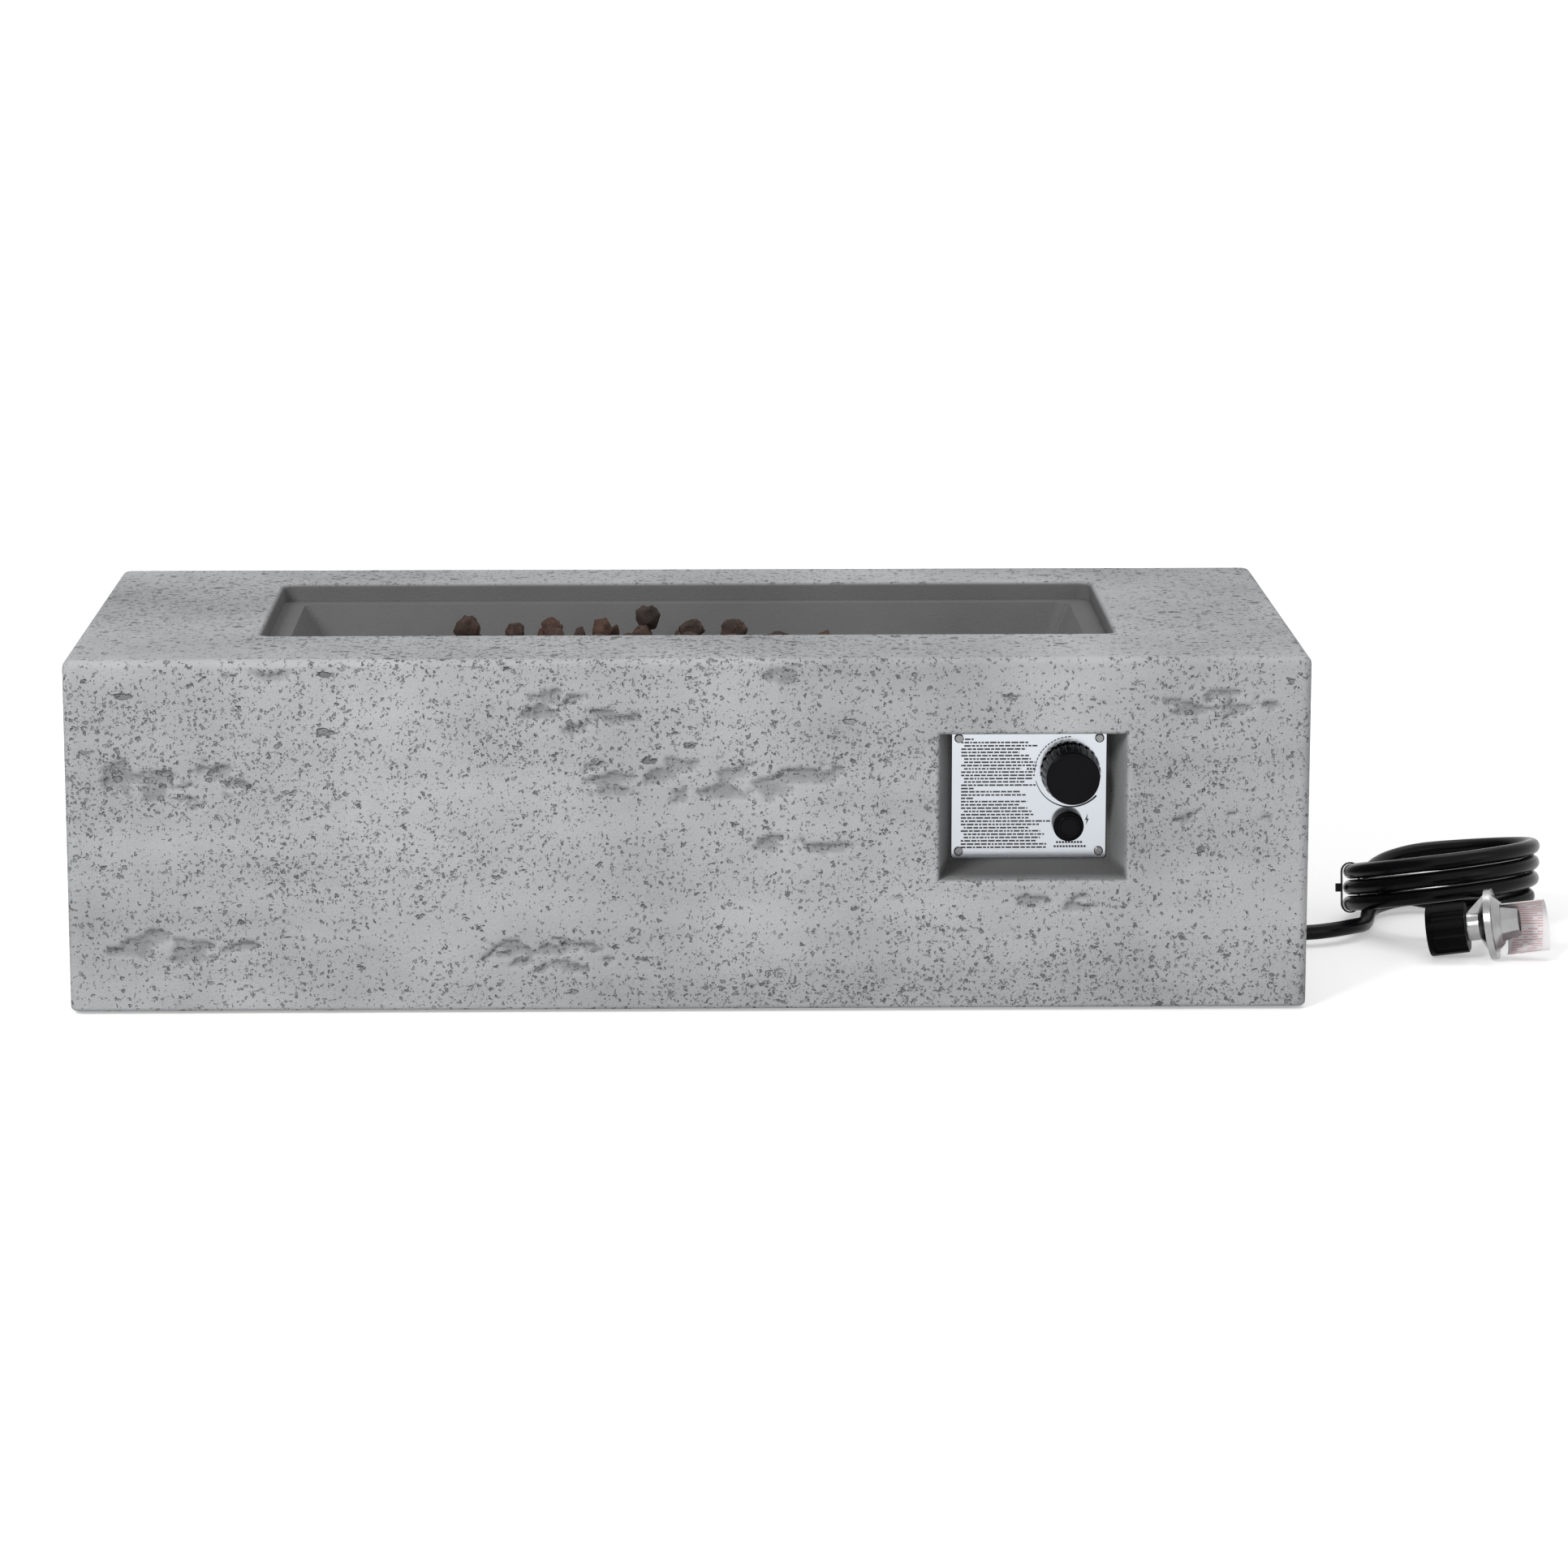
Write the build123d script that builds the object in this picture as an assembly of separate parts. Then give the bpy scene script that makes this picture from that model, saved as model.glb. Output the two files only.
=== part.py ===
from build123d import *
import math
import os
import random

# Gas fire pit: a cast trough on the ground, its control recess and its coiled gas hose.
# Millimetres. The origin is the centre of the footprint on the ground, the front faces -Y.

# Cast body
BODY_LENGTH = 1067.0
BODY_DEPTH = 508.0
TOP_HEIGHT = 310.0
FOOT_HEIGHT = 3.0
WALL = 22.0
TOP_THICKNESS = 26.0
CORNER_RADIUS = 9.0
TOP_EDGE_RADIUS = 7.0
BOTTOM_EDGE_RADIUS = 4.0
POST_SIZE = 66.0
POST_HEIGHT = 60.0
FOOT_RADIUS = 19.0
FOOT_DRAFT = 2.0

# Fire trough
OPENING_LENGTH = 748.0
OPENING_WIDTH = 290.0
OPENING_SHIFT = 18.0
OPENING_CORNER = 12.0
OPENING_EDGE_RADIUS = 4.0
RIM_DEPTH = 16.0
LEDGE_WIDTH = 20.0
TROUGH_DEPTH = 60.0
TROUGH_SLOPE = 0.46
TROUGH_WALL = 20.0

# Control recess
RECESS_X = 295.5
RECESS_Z = 179.5
RECESS_WIDTH = 162.0
RECESS_HEIGHT = 128.0
RECESS_DEPTH = 60.0
RECESS_SIDE_DRAFT = 11.0
RECESS_TOP_DRAFT = 6.0
RECESS_EDGE_RADIUS = 4.0
RECESS_WALL = 18.0
WINDOW_WIDTH = 113.0
WINDOW_HEIGHT = 84.0
WINDOW_SHIFT = 4.0

# Control panel
PANEL_WIDTH = 134.0
PANEL_HEIGHT = 112.0
PANEL_THICKNESS = 1.5
PANEL_SCREW_INSET = 6.0
SCREW_RADIUS = 2.0
SCREW_HEAD_RADIUS = 4.0
SCREW_HEAD_HEIGHT = 2.4
SCREW_LENGTH = 14.0
FIT = 0.1
SEAT = 0.3

# Control knob and plug valve
KNOB_DX = 36.0
KNOB_DZ = 20.0
KNOB_REAR_RADIUS = 26.0
KNOB_FACE_RADIUS = 23.0
KNOB_LENGTH = 26.0
KNOB_GAP = 7.0
KNOB_WALL = 3.0
KNOB_HOLLOW = 13.0
KNOB_FLUTES = 24
KNOB_FLUTE_RADIUS = 1.7
KNOB_HUB_RADIUS = 7.5
KNOB_PUSH = 4.0
STEM_RADIUS = 4.0
STEM_SOCKET = 15.0
STEM_FLAT = 1.2
STEM_SQUARE = 5.0
STEM_COLLAR_RADIUS = 6.0
STEM_COLLAR = 1.7
BONNET_RADIUS = 14.0
BONNET_WALL = 3.0
BONNET_LENGTH = 14.0
BONNET_BORE = 7.2
BONNET_EAR_LENGTH = 45.0
BONNET_EAR_WIDTH = 11.0
BONNET_EAR_THICKNESS = 5.0
VALVE_SCREW_SPACING = 34.0
VALVE_SCREW_LENGTH = 5.0
VALVE_WIDTH = 34.0
VALVE_HEIGHT = 36.0
VALVE_LENGTH = 44.0
VALVE_EDGE = 5.0
VALVE_PORT_RADIUS = 2.5
VALVE_PORT_DEPTH = 20.0
VALVE_BOSS_RADIUS = 9.0
VALVE_BOSS_LENGTH = 6.0
PLUG_RADIUS = 8.0
PLUG_LENGTH = 32.0
SOCKET_DEPTH = 20.0
MAGNET_RADIUS = 7.0
MAGNET_LENGTH = 16.0
STEM_SPRING_RADIUS = 5.0
STEM_SPRING_WIRE = 1.0
STEM_SPRING_TURNS = 4

# Igniter
IGNITER_DX = 34.0
IGNITER_DZ = -26.0
BEZEL_RADIUS = 13.25
BEZEL_LENGTH = 13.0
BARREL_RADIUS = 10.9
BARREL_LENGTH = 60.0
BARREL_END_WALL = 3.0
BUTTON_RADIUS = 9.7
BUTTON_LENGTH = 11.0
BUTTON_PROUD = 2.5
BUTTON_PUSH = 4.0
BUTTON_DISH = 0.8
BATTERY_RADIUS = 7.2
BATTERY_LENGTH = 50.0
IGNITER_NUT_FLATS = 27.0
IGNITER_NUT_THICKNESS = 5.0
IGNITER_SPRING_RADIUS = 5.0
IGNITER_SPRING_WIRE = 0.8
IGNITER_SPRING_TURNS = 4
IGNITER_LEAD_RADIUS = 1.5

# Burner
TRAY_LENGTH = 620.0
TRAY_WIDTH = 172.0
TRAY_RIM = 10.0
TRAY_SHEET = 1.5
BURNER_RADIUS = 10.0
BURNER_WALL = 1.5
BURNER_LENGTH = 520.0
BURNER_LIFT = 6.0
BURNER_PORT_RADIUS = 1.5
BURNER_PORT_PITCH = 18.0
BURNER_PORT_ANGLE = 35.0
SADDLE_X = 150.0
SADDLE_WIDTH = 12.0
SADDLE_SHEET = 3.0
MIXER_RADIUS = 9.0
MIXER_WALL = 1.2
MIXER_DROP = 96.0
MIXER_HOLE = 12.0
AIR_WINDOWS = 4
AIR_WINDOW_WIDTH = 7.0
AIR_WINDOW_HEIGHT = 16.0
AIR_WINDOW_RISE = 10.0
MIXER_NUT_FLATS = 32.0
MIXER_NUT_THICKNESS = 8.0
INJECTOR_FLATS = 14.0
INJECTOR_HEX = 9.0
INJECTOR_COLLAR = 2.5
INJECTOR_SPIGOT = 6.0
INJECTOR_NOZZLE = 9.0
INJECTOR_ORIFICE = 0.8
SUPPLY_RADIUS = 4.0

# Flame sensor and spark electrode
SENSOR_X = 200.0
SENSOR_Y = -26.0
SENSOR_SPACING = 22.0
SENSOR_HOLE = 4.5
CERAMIC_RADIUS = 3.5
CERAMIC_RISE = 22.0
CERAMIC_DROP = 30.0
ELECTRODE_RADIUS = 1.0
ELECTRODE_RISE = 10.0
ELECTRODE_REACH = 14.0
THERMOCOUPLE_RADIUS = 2.5
THERMOCOUPLE_RISE = 31.0
THERMOCOUPLE_DROP = 24.0
CAPILLARY_RADIUS = 1.0
BRACKET_HEIGHT = 12.0
BRACKET_SHEET = 1.5
BRACKET_DEPTH = 14.0
BRACKET_LENGTH = 42.0

# Lava rocks
ROCK_RADIUS = 15.0
ROCK_GAP = 1.0
ROCK_LOW = 19.0
ROCK_HIGH = 57.0
ROCK_POINTS = 15
ROCK_SEED = 7
HEAP_X = -72.0
HEAP_REACH = 235.0
TOP_ROCK_RADIUS = 18.0
TOP_ROCK_HEIGHT = 34.0
TOP_ROCK_PITCH = 40.0
TOP_ROCK_SHARE = 0.22
ROCK_TOUCH = 0.3

# Gas hose and its coil, which leans up towards the front and the right
HOSE_RADIUS = 7.0
HOSE_EXIT_Y = -6.0
HOSE_EXIT_Z = 12.0
GROMMET_WALL = 4.0
GROMMET_LIP = 4.0
COIL_X = 697.5
COIL_Y = 84.0
COIL_RADIUS = 84.0
COIL_PITCH = 15.2
COIL_TURNS = 3
COIL_LOW = 20.5
COIL_LEAN_RIGHT = 0.10
COIL_LEAN_FRONT = 0.188
INNER_X = 686.5
INNER_Y = 80.0
INNER_RADIUS = 56.0
INNER_START = 170.0
COIL_TUCK = 5.0
HOSE_GROUND = 8.6
LEAD_LAST_RUN = 27.0
TIE_THICKNESS = 1.4
TIE_WIDTH = 5.0

# Regulator, lying on its nut and on its rim
REGULATOR_X = 723.0
REGULATOR_Y = -62.0
REGULATOR_YAW = 14.0
FLANGE_RADIUS = 32.0
FLANGE_THICKNESS = 3.0
DIAPHRAGM_RADIUS = 27.0
DIAPHRAGM_THICKNESS = 1.0
CHAMBER_RADIUS = 13.0
CHAMBER_LENGTH = 21.0
OUTLET_X = -13.0
OUTLET_RADIUS = 8.0
OUTLET_REACH = 22.0
BARB_FLATS = 13.0
BARB_HEX = 5.0
FERRULE_RADIUS = 9.0
FERRULE_LENGTH = 16.0
DOME_LENGTH = 10.0
DOME_RADIUS = 19.0
CAP_FLATS = 31.0
CAP_LENGTH = 15.0
CAP_TAPER = 3.0
NIPPLE_RADIUS = 6.5
NIPPLE_BORE = 2.5
NIPPLE_COLLAR_RADIUS = 11.0
NIPPLE_COLLAR = 4.0
NUT_RADIUS = 23.0
NUT_LENGTH = 35.0
NUT_BORE = 16.6
NUT_BACK = 5.0
NUT_GAP = 1.0
NUT_FLUTES = 8
NUT_FLUTE_RADIUS = 7.0
NUT_FLUTE_DEPTH = 2.2
TAG_THICKNESS = 0.4
TAG_RADIUS = 23.0
TAG_LENGTH = 38.0
TAG_TAIL = 14.0

PANEL_BACK = -BODY_DEPTH / 2 + RECESS_DEPTH
PANEL_FRONT = PANEL_BACK - PANEL_THICKNESS
KNOB_X = RECESS_X + KNOB_DX
KNOB_Z = RECESS_Z + KNOB_DZ
IGNITER_X = RECESS_X + IGNITER_DX
IGNITER_Z = RECESS_Z + IGNITER_DZ
LEDGE_Z = TOP_HEIGHT - RIM_DEPTH
FLOOR_Z = LEDGE_Z - TROUGH_DEPTH
TRAY_TOP = FLOOR_Z + TRAY_SHEET
BURNER_Z = TRAY_TOP + BURNER_LIFT + BURNER_RADIUS
MIXER_LOW = FLOOR_Z - MIXER_DROP
HOSE_EXIT_X = BODY_LENGTH / 2
REGULATOR_TILT = math.degrees(
    math.atan2(FLANGE_RADIUS - NUT_RADIUS, CHAMBER_LENGTH + NUT_GAP + NUT_LENGTH - FLANGE_THICKNESS)
)

on_base = (Align.CENTER, Align.CENTER, Align.MIN)


def rod(radius, start, end):
    """Round bar along Z between two heights."""
    return Pos(0, 0, start) * Cylinder(radius, end - start, align=on_base)


def hex_bar(flats, start, end):
    """Six-sided bar along Z, sized across its flats."""
    profile = RegularPolygon(flats / 2, 6, major_radius=False)
    return Pos(0, 0, start) * extrude(profile, end - start)


def turned(*outline):
    """Solid of revolution about Z from (radius, height) corners."""
    return revolve(Plane.XZ * make_face(Polyline(*outline, close=True)), Axis.Z)


def at_panel(shape, x, z):
    """Sets a shape built along Z behind the control panel, pointing into the body."""
    return Plane(origin=(x, PANEL_BACK, z), x_dir=(1, 0, 0), z_dir=(0, 1, 0)).location * shape


def at_regulator(shape):
    """Sets a shape built along X, with the diaphragm at X = 0, where the regulator lies."""
    tilt = math.radians(REGULATOR_TILT)
    height = FLANGE_RADIUS * math.cos(tilt) + FLANGE_THICKNESS * math.sin(tilt) + SEAT
    place = Pos(REGULATOR_X, REGULATOR_Y, height)
    return place * Rot(0, 0, -REGULATOR_YAW) * Rot(0, -REGULATOR_TILT, 0) * shape


def biarc(start, start_way, end, end_way):
    """Two tangent arcs that leave start along start_way and reach end along end_way."""
    chord = end - start
    both = start_way + end_way
    bend = 2 * (1 - start_way.dot(end_way))
    along = chord.dot(both)
    reach = (math.sqrt(along**2 + bend * chord.dot(chord)) - along) / bend
    knee = (start + end + (start_way - end_way) * reach) * 0.5
    knee_way = (end - end_way * reach) - (start + start_way * reach)
    first = Edge.make_tangent_arc(start, start_way, knee)
    second = Edge.make_tangent_arc(knee, knee_way.normalized(), end)
    return [first, second]


def wound_path(stations):
    """Unbroken line of biarcs through (point, direction) stations."""
    edges = []
    for (start, start_way), (end, end_way) in zip(stations, stations[1:]):
        edges += biarc(start, start_way, end, end_way)
    return edges


def tube_along(path, radius):
    """Round tube along a smooth path, with its volume checked against its length."""
    profile = Plane(origin=path @ 0, z_dir=path % 0) * Circle(radius)
    tube = sweep(profile, path=path)
    expected = math.pi * radius**2 * path.length
    print(f"tube length {path.length:.0f} mm, volume ratio {tube.volume / expected:.4f}")
    return tube


def routed_tube(points, radius):
    """Tube through hand-chosen points, with each bend as wide as its two runs allow."""
    places = [Vector(*point) for point in points]
    radii = []
    for before, corner, after in zip(places, places[1:], places[2:]):
        run = min((corner - before).length, (after - corner).length)
        turn = math.radians((corner - before).get_angle(after - corner))
        radii.append(0.45 * run / math.tan(turn / 2))
    print("bend radii", [round(value) for value in radii])
    return tube_along(FilletPolyline(*places, radius=radii), radius)


def coil_spring(mean_radius, wire_radius, turns, start, end):
    """Round-wire compression spring along Z between two seats."""
    low = start + wire_radius
    rise = end - start - 2 * wire_radius
    stations = []
    for quarter in range(4 * turns + 1):
        angle = quarter * math.pi / 2
        place = Vector(mean_radius * math.cos(angle), mean_radius * math.sin(angle), low + rise * quarter / (4 * turns))
        way = Vector(-math.sin(angle), math.cos(angle), rise / (turns * math.tau * mean_radius))
        stations.append((place, way.normalized()))
    return tube_along(Wire(wound_path(stations)), wire_radius)


def rounded_frustum(length, width, corner, grow, low, high, spread):
    """Tapered block with rounded corners, wider by spread on each side at its top."""
    bottom = RectangleRounded(length + 2 * grow, width + 2 * grow, corner)
    top = RectangleRounded(length + 2 * grow + 2 * spread, width + 2 * grow + 2 * spread, corner)
    return loft([Pos(0, 0, low) * bottom, Pos(0, 0, high) * top])


def trough_space(grow):
    """Sloping fire trough below the ledge, or its outside when grown by the wall."""
    spread = TROUGH_SLOPE * TROUGH_DEPTH
    length = OPENING_LENGTH - 2 * LEDGE_WIDTH - 2 * spread
    width = OPENING_WIDTH - 2 * LEDGE_WIDTH - 2 * spread
    shape = rounded_frustum(length, width, OPENING_CORNER, grow, FLOOR_Z - grow, LEDGE_Z, spread)
    return Pos(0, OPENING_SHIFT, 0) * shape


def recess_space():
    """Drafted pocket in the front face, narrower at its back."""
    mouth = Plane(origin=(RECESS_X, -BODY_DEPTH / 2, RECESS_Z), x_dir=(1, 0, 0), z_dir=(0, 1, 0))
    back = mouth.offset(RECESS_DEPTH)
    back_width = RECESS_WIDTH - 2 * RECESS_SIDE_DRAFT
    back_height = RECESS_HEIGHT - 2 * RECESS_TOP_DRAFT
    return loft([mouth * Rectangle(RECESS_WIDTH, RECESS_HEIGHT), back * Rectangle(back_width, back_height)])


def foot_places():
    """The four corners where the casting stands on its feet."""
    x = BODY_LENGTH / 2 - WALL - POST_SIZE / 2
    y = BODY_DEPTH / 2 - WALL - POST_SIZE / 2
    return {"front_left": (-x, -y), "front_right": (x, -y), "back_left": (-x, y), "back_right": (x, y)}


def panel_screw_places():
    """Corner screws of the control panel, as (x, z)."""
    x = PANEL_WIDTH / 2 - PANEL_SCREW_INSET
    z = PANEL_HEIGHT / 2 - PANEL_SCREW_INSET
    return [(RECESS_X + sx * x, RECESS_Z + sz * z) for sx in (-1, 1) for sz in (-1, 1)]


def sensor_places():
    """Spark electrode and thermocouple beside the burner, as (x, y)."""
    y = OPENING_SHIFT + SENSOR_Y
    return (SENSOR_X - SENSOR_SPACING / 2, y), (SENSOR_X + SENSOR_SPACING / 2, y)


def hose_notch(grow):
    """Arched opening for the hose at the foot of the right-hand wall."""
    radius = HOSE_RADIUS + GROMMET_WALL + grow
    face = Plane(origin=(HOSE_EXIT_X - WALL, HOSE_EXIT_Y, HOSE_EXIT_Z), x_dir=(0, 1, 0), z_dir=(1, 0, 0))
    drop = HOSE_EXIT_Z - FOOT_HEIGHT
    leg = Pos(0, -drop / 2) * Rectangle(2 * radius, drop)
    return extrude(face * (Circle(radius) + leg), WALL)


def make_casting():
    height = TOP_HEIGHT - FOOT_HEIGHT
    block = Pos(0, 0, FOOT_HEIGHT) * Box(BODY_LENGTH, BODY_DEPTH, height, align=on_base)
    block = fillet(block.edges().filter_by(Axis.Z), CORNER_RADIUS)
    block = fillet(block.edges().group_by(Axis.Z)[-1], TOP_EDGE_RADIUS)
    block = fillet(block.edges().group_by(Axis.Z)[0], BOTTOM_EDGE_RADIUS)
    hollow_height = height - TOP_THICKNESS
    hollow = Box(BODY_LENGTH - 2 * WALL, BODY_DEPTH - 2 * WALL, hollow_height, align=on_base)
    hollow = Pos(0, 0, FOOT_HEIGHT) * hollow
    hollow -= trough_space(TROUGH_WALL)
    surround_width = RECESS_WIDTH + 2 * RECESS_WALL
    surround_height = RECESS_HEIGHT + 2 * RECESS_WALL
    surround = Box(surround_width, RECESS_DEPTH + RECESS_WALL, surround_height)
    hollow -= Pos(RECESS_X, -BODY_DEPTH / 2 + (RECESS_DEPTH + RECESS_WALL) / 2, RECESS_Z) * surround
    for x, y in foot_places().values():
        hollow -= Pos(x, y, FOOT_HEIGHT) * Box(POST_SIZE, POST_SIZE, POST_HEIGHT, align=on_base)
    body = block - hollow
    mouth = extrude(RectangleRounded(OPENING_LENGTH, OPENING_WIDTH, OPENING_CORNER), RIM_DEPTH)
    body -= Pos(0, OPENING_SHIFT, LEDGE_Z) * mouth
    body -= trough_space(0)
    rim = [edge for edge in body.edges().group_by(Axis.Z)[-1] if abs(edge.center().X) < OPENING_LENGTH / 2 + 1]
    rim = [edge for edge in rim if abs(edge.center().Y - OPENING_SHIFT) < OPENING_WIDTH / 2 + 1]
    body = fillet(rim, OPENING_EDGE_RADIUS)
    body -= recess_space()
    lip = [edge for edge in body.edges().group_by(Axis.Y)[0] if abs(edge.center().X - RECESS_X) < RECESS_WIDTH]
    lip = [edge for edge in lip if abs(edge.center().Z - RECESS_Z) < RECESS_HEIGHT / 2 + 1]
    body = fillet(lip, RECESS_EDGE_RADIUS)
    window = Box(WINDOW_WIDTH, 4 * RECESS_WALL, WINDOW_HEIGHT)
    body -= Pos(RECESS_X + WINDOW_SHIFT, PANEL_BACK, RECESS_Z) * window
    for x, z in panel_screw_places():
        body -= at_panel(rod(SCREW_RADIUS + FIT, 0, SCREW_LENGTH), x, z)
    body -= Pos(0, OPENING_SHIFT, 0) * rod(MIXER_HOLE, FLOOR_Z - TROUGH_WALL, FLOOR_Z)
    for x, y in sensor_places():
        body -= Pos(x, y, 0) * rod(SENSOR_HOLE, FLOOR_Z - TROUGH_WALL, FLOOR_Z)
    return body - hose_notch(FIT)


def basin_block(apart):
    """Everything under the ledge within the opening, less a bond line."""
    outline = RectangleRounded(OPENING_LENGTH - 2 * apart, OPENING_WIDTH - 2 * apart, OPENING_CORNER)
    return Pos(0, OPENING_SHIFT, 0) * extrude(outline, LEDGE_Z)


def niche_block(apart):
    """Everything round the control recess behind the front wall, less a bond line."""
    depth = RECESS_DEPTH + RECESS_WALL - WALL
    block = Box(RECESS_WIDTH + 2 * RECESS_WALL, depth, RECESS_HEIGHT + 2 * RECESS_WALL)
    return Pos(RECESS_X, -BODY_DEPTH / 2 + WALL + depth / 2 + apart, RECESS_Z) * block


def basin_outlines():
    """The basin's floor and its four mitred walls, seen from above and a bond line apart."""
    inset = LEDGE_WIDTH + TROUGH_SLOPE * TROUGH_DEPTH
    outer_x, outer_y = OPENING_LENGTH / 2, OPENING_WIDTH / 2
    inner_x, inner_y = outer_x - inset, outer_y - inset
    outlines = [Rectangle(2 * inner_x, 2 * inner_y)]
    for side in (-SEAT / 2, SEAT / 2):
        turn = math.copysign(1, side)
        end = Polygon((inner_x, inner_y), (inner_x, -inner_y), (outer_x, -outer_y), (outer_x, outer_y), align=None)
        long = Polygon((-inner_x, inner_y), (inner_x, inner_y), (outer_x, outer_y), (-outer_x, outer_y), align=None)
        outlines.append(Pos(side, 0) * Rot(0, 0, 90 - 90 * turn) * end)
        outlines.append(Pos(0, side) * Rot(0, 0, 90 - 90 * turn) * long)
    return outlines


def make_basin(whole):
    """Fire basin of five slabs, which are cast flat and bonded along their mitres."""
    basin = whole & basin_block(SEAT / 2)
    slabs = [basin & Pos(0, OPENING_SHIFT, 0) * extrude(outline, LEDGE_Z) for outline in basin_outlines()]
    return Compound(children=[slab.solid() for slab in slabs])


def make_castings():
    """Shell, fire basin and control niche, which are cast apart and bonded."""
    whole = make_casting()
    shell = whole - basin_block(0) - niche_block(0)
    return shell, make_basin(whole), whole & niche_block(SEAT / 2)


def make_foot(place):
    foot = Cone(FOOT_RADIUS - FOOT_DRAFT, FOOT_RADIUS, FOOT_HEIGHT, align=on_base)
    return Pos(*place, 0) * foot


def make_panel():
    plate = extrude(RectangleRounded(PANEL_WIDTH, PANEL_HEIGHT, 2 * PANEL_THICKNESS), -PANEL_THICKNESS)
    plate = at_panel(plate, RECESS_X, RECESS_Z)
    for x, z in panel_screw_places():
        plate -= at_panel(rod(SCREW_RADIUS + FIT, -PANEL_THICKNESS, 0), x, z)
    plate -= at_panel(rod(STEM_RADIUS + 2, -PANEL_THICKNESS, 0), KNOB_X, KNOB_Z)
    for side in (-1, 1):
        place = KNOB_X + side * VALVE_SCREW_SPACING / 2
        plate -= at_panel(rod(SCREW_RADIUS + FIT, -PANEL_THICKNESS, 0), place, KNOB_Z)
    return plate - at_panel(rod(BARREL_RADIUS + FIT, -PANEL_THICKNESS, 0), IGNITER_X, IGNITER_Z)


def pan_screw(length):
    """Pan-head screw that clamps the panel, with its shank along Z."""
    seat = -PANEL_THICKNESS
    head = rod(SCREW_HEAD_RADIUS, seat - SCREW_HEAD_HEIGHT, seat)
    head = fillet(head.edges().group_by(Axis.Z)[0], SCREW_HEAD_HEIGHT / 2)
    return head + rod(SCREW_RADIUS, seat, length)


def make_panel_screws():
    return Compound(children=[at_panel(pan_screw(SCREW_LENGTH), x, z) for x, z in panel_screw_places()])


def make_valve_screws():
    places = [KNOB_X + side * VALVE_SCREW_SPACING / 2 for side in (-1, 1)]
    return Compound(children=[at_panel(pan_screw(VALVE_SCREW_LENGTH), x, KNOB_Z) for x in places])


def stem_tip():
    return -PANEL_THICKNESS - KNOB_GAP - STEM_SOCKET


def d_bar(radius, start, end):
    """Round bar with one flat, as a knob's shaft has."""
    flat = Pos(0, -2 * radius + STEM_FLAT) * Rectangle(2 * radius, 2 * radius)
    return Pos(0, 0, start) * extrude(Circle(radius) - flat, end - start)


def make_knob():
    rear = -PANEL_THICKNESS - KNOB_GAP
    face = rear - KNOB_LENGTH
    edge = KNOB_WALL / 2
    knob = turned((0, rear), (KNOB_REAR_RADIUS, rear), (KNOB_FACE_RADIUS, face), (0, face))
    knob = fillet(knob.edges().group_by(Axis.Z)[0], edge)
    lean = math.degrees(math.atan2(KNOB_REAR_RADIUS - KNOB_FACE_RADIUS, KNOB_LENGTH))
    groove = rod(KNOB_FLUTE_RADIUS, -KNOB_LENGTH + 2 * edge, KNOB_LENGTH)
    groove = Pos(KNOB_REAR_RADIUS + KNOB_FLUTE_RADIUS / 3, 0, rear) * Rot(0, lean, 0) * groove
    knob -= [Rot(0, 0, turn * 360 / KNOB_FLUTES) * groove for turn in range(KNOB_FLUTES)]
    shell = KNOB_FACE_RADIUS - KNOB_WALL
    knob -= rod(shell, rear - KNOB_HOLLOW, rear) - rod(KNOB_HUB_RADIUS, face, rear)
    return at_panel(knob - d_bar(STEM_RADIUS + FIT / 2, stem_tip() - SEAT, rear), KNOB_X, KNOB_Z)


def make_stem():
    shoulder = BONNET_WALL + SEAT
    rear = -PANEL_THICKNESS - KNOB_GAP
    stem = d_bar(STEM_RADIUS, stem_tip(), rear) + rod(STEM_RADIUS, rear, shoulder)
    stem += rod(STEM_COLLAR_RADIUS, shoulder, shoulder + STEM_COLLAR)
    tail = extrude(Rectangle(STEM_SQUARE, STEM_SQUARE), BONNET_LENGTH + SOCKET_DEPTH - KNOB_PUSH - shoulder)
    return at_panel(stem + Pos(0, 0, shoulder) * tail, KNOB_X, KNOB_Z)


def make_stem_spring():
    low = BONNET_WALL + SEAT + STEM_COLLAR + SEAT
    high = BONNET_LENGTH + SEAT
    spring = coil_spring(STEM_SPRING_RADIUS, STEM_SPRING_WIRE / 2, STEM_SPRING_TURNS, low, high)
    return at_panel(spring, KNOB_X, KNOB_Z)


def make_bonnet():
    bonnet = rod(BONNET_RADIUS, 0, BONNET_LENGTH)
    bonnet += extrude(SlotOverall(BONNET_EAR_LENGTH, BONNET_EAR_WIDTH), BONNET_EAR_THICKNESS)
    bonnet -= rod(STEM_RADIUS + FIT, 0, BONNET_WALL)
    bonnet -= rod(BONNET_BORE, BONNET_WALL, BONNET_LENGTH)
    for side in (-1, 1):
        screw = rod(SCREW_RADIUS + FIT, 0, BONNET_EAR_THICKNESS)
        bonnet -= Pos(side * VALVE_SCREW_SPACING / 2, 0, 0) * screw
    return at_panel(bonnet, KNOB_X, KNOB_Z)


def make_plug():
    low = BONNET_LENGTH + 2 * SEAT
    plug = rod(PLUG_RADIUS - FIT / 2, low, low + PLUG_LENGTH)
    socket = Rectangle(STEM_SQUARE + 2 * FIT, STEM_SQUARE + 2 * FIT)
    plug -= Pos(0, 0, low) * extrude(socket, SOCKET_DEPTH)
    port = Pos(0, 0, BONNET_LENGTH + VALVE_PORT_DEPTH + STEM_SQUARE) * Rot(0, 90, 0)
    return at_panel(plug - port * Cylinder(VALVE_PORT_RADIUS, 4 * PLUG_RADIUS), KNOB_X, KNOB_Z)


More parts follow.
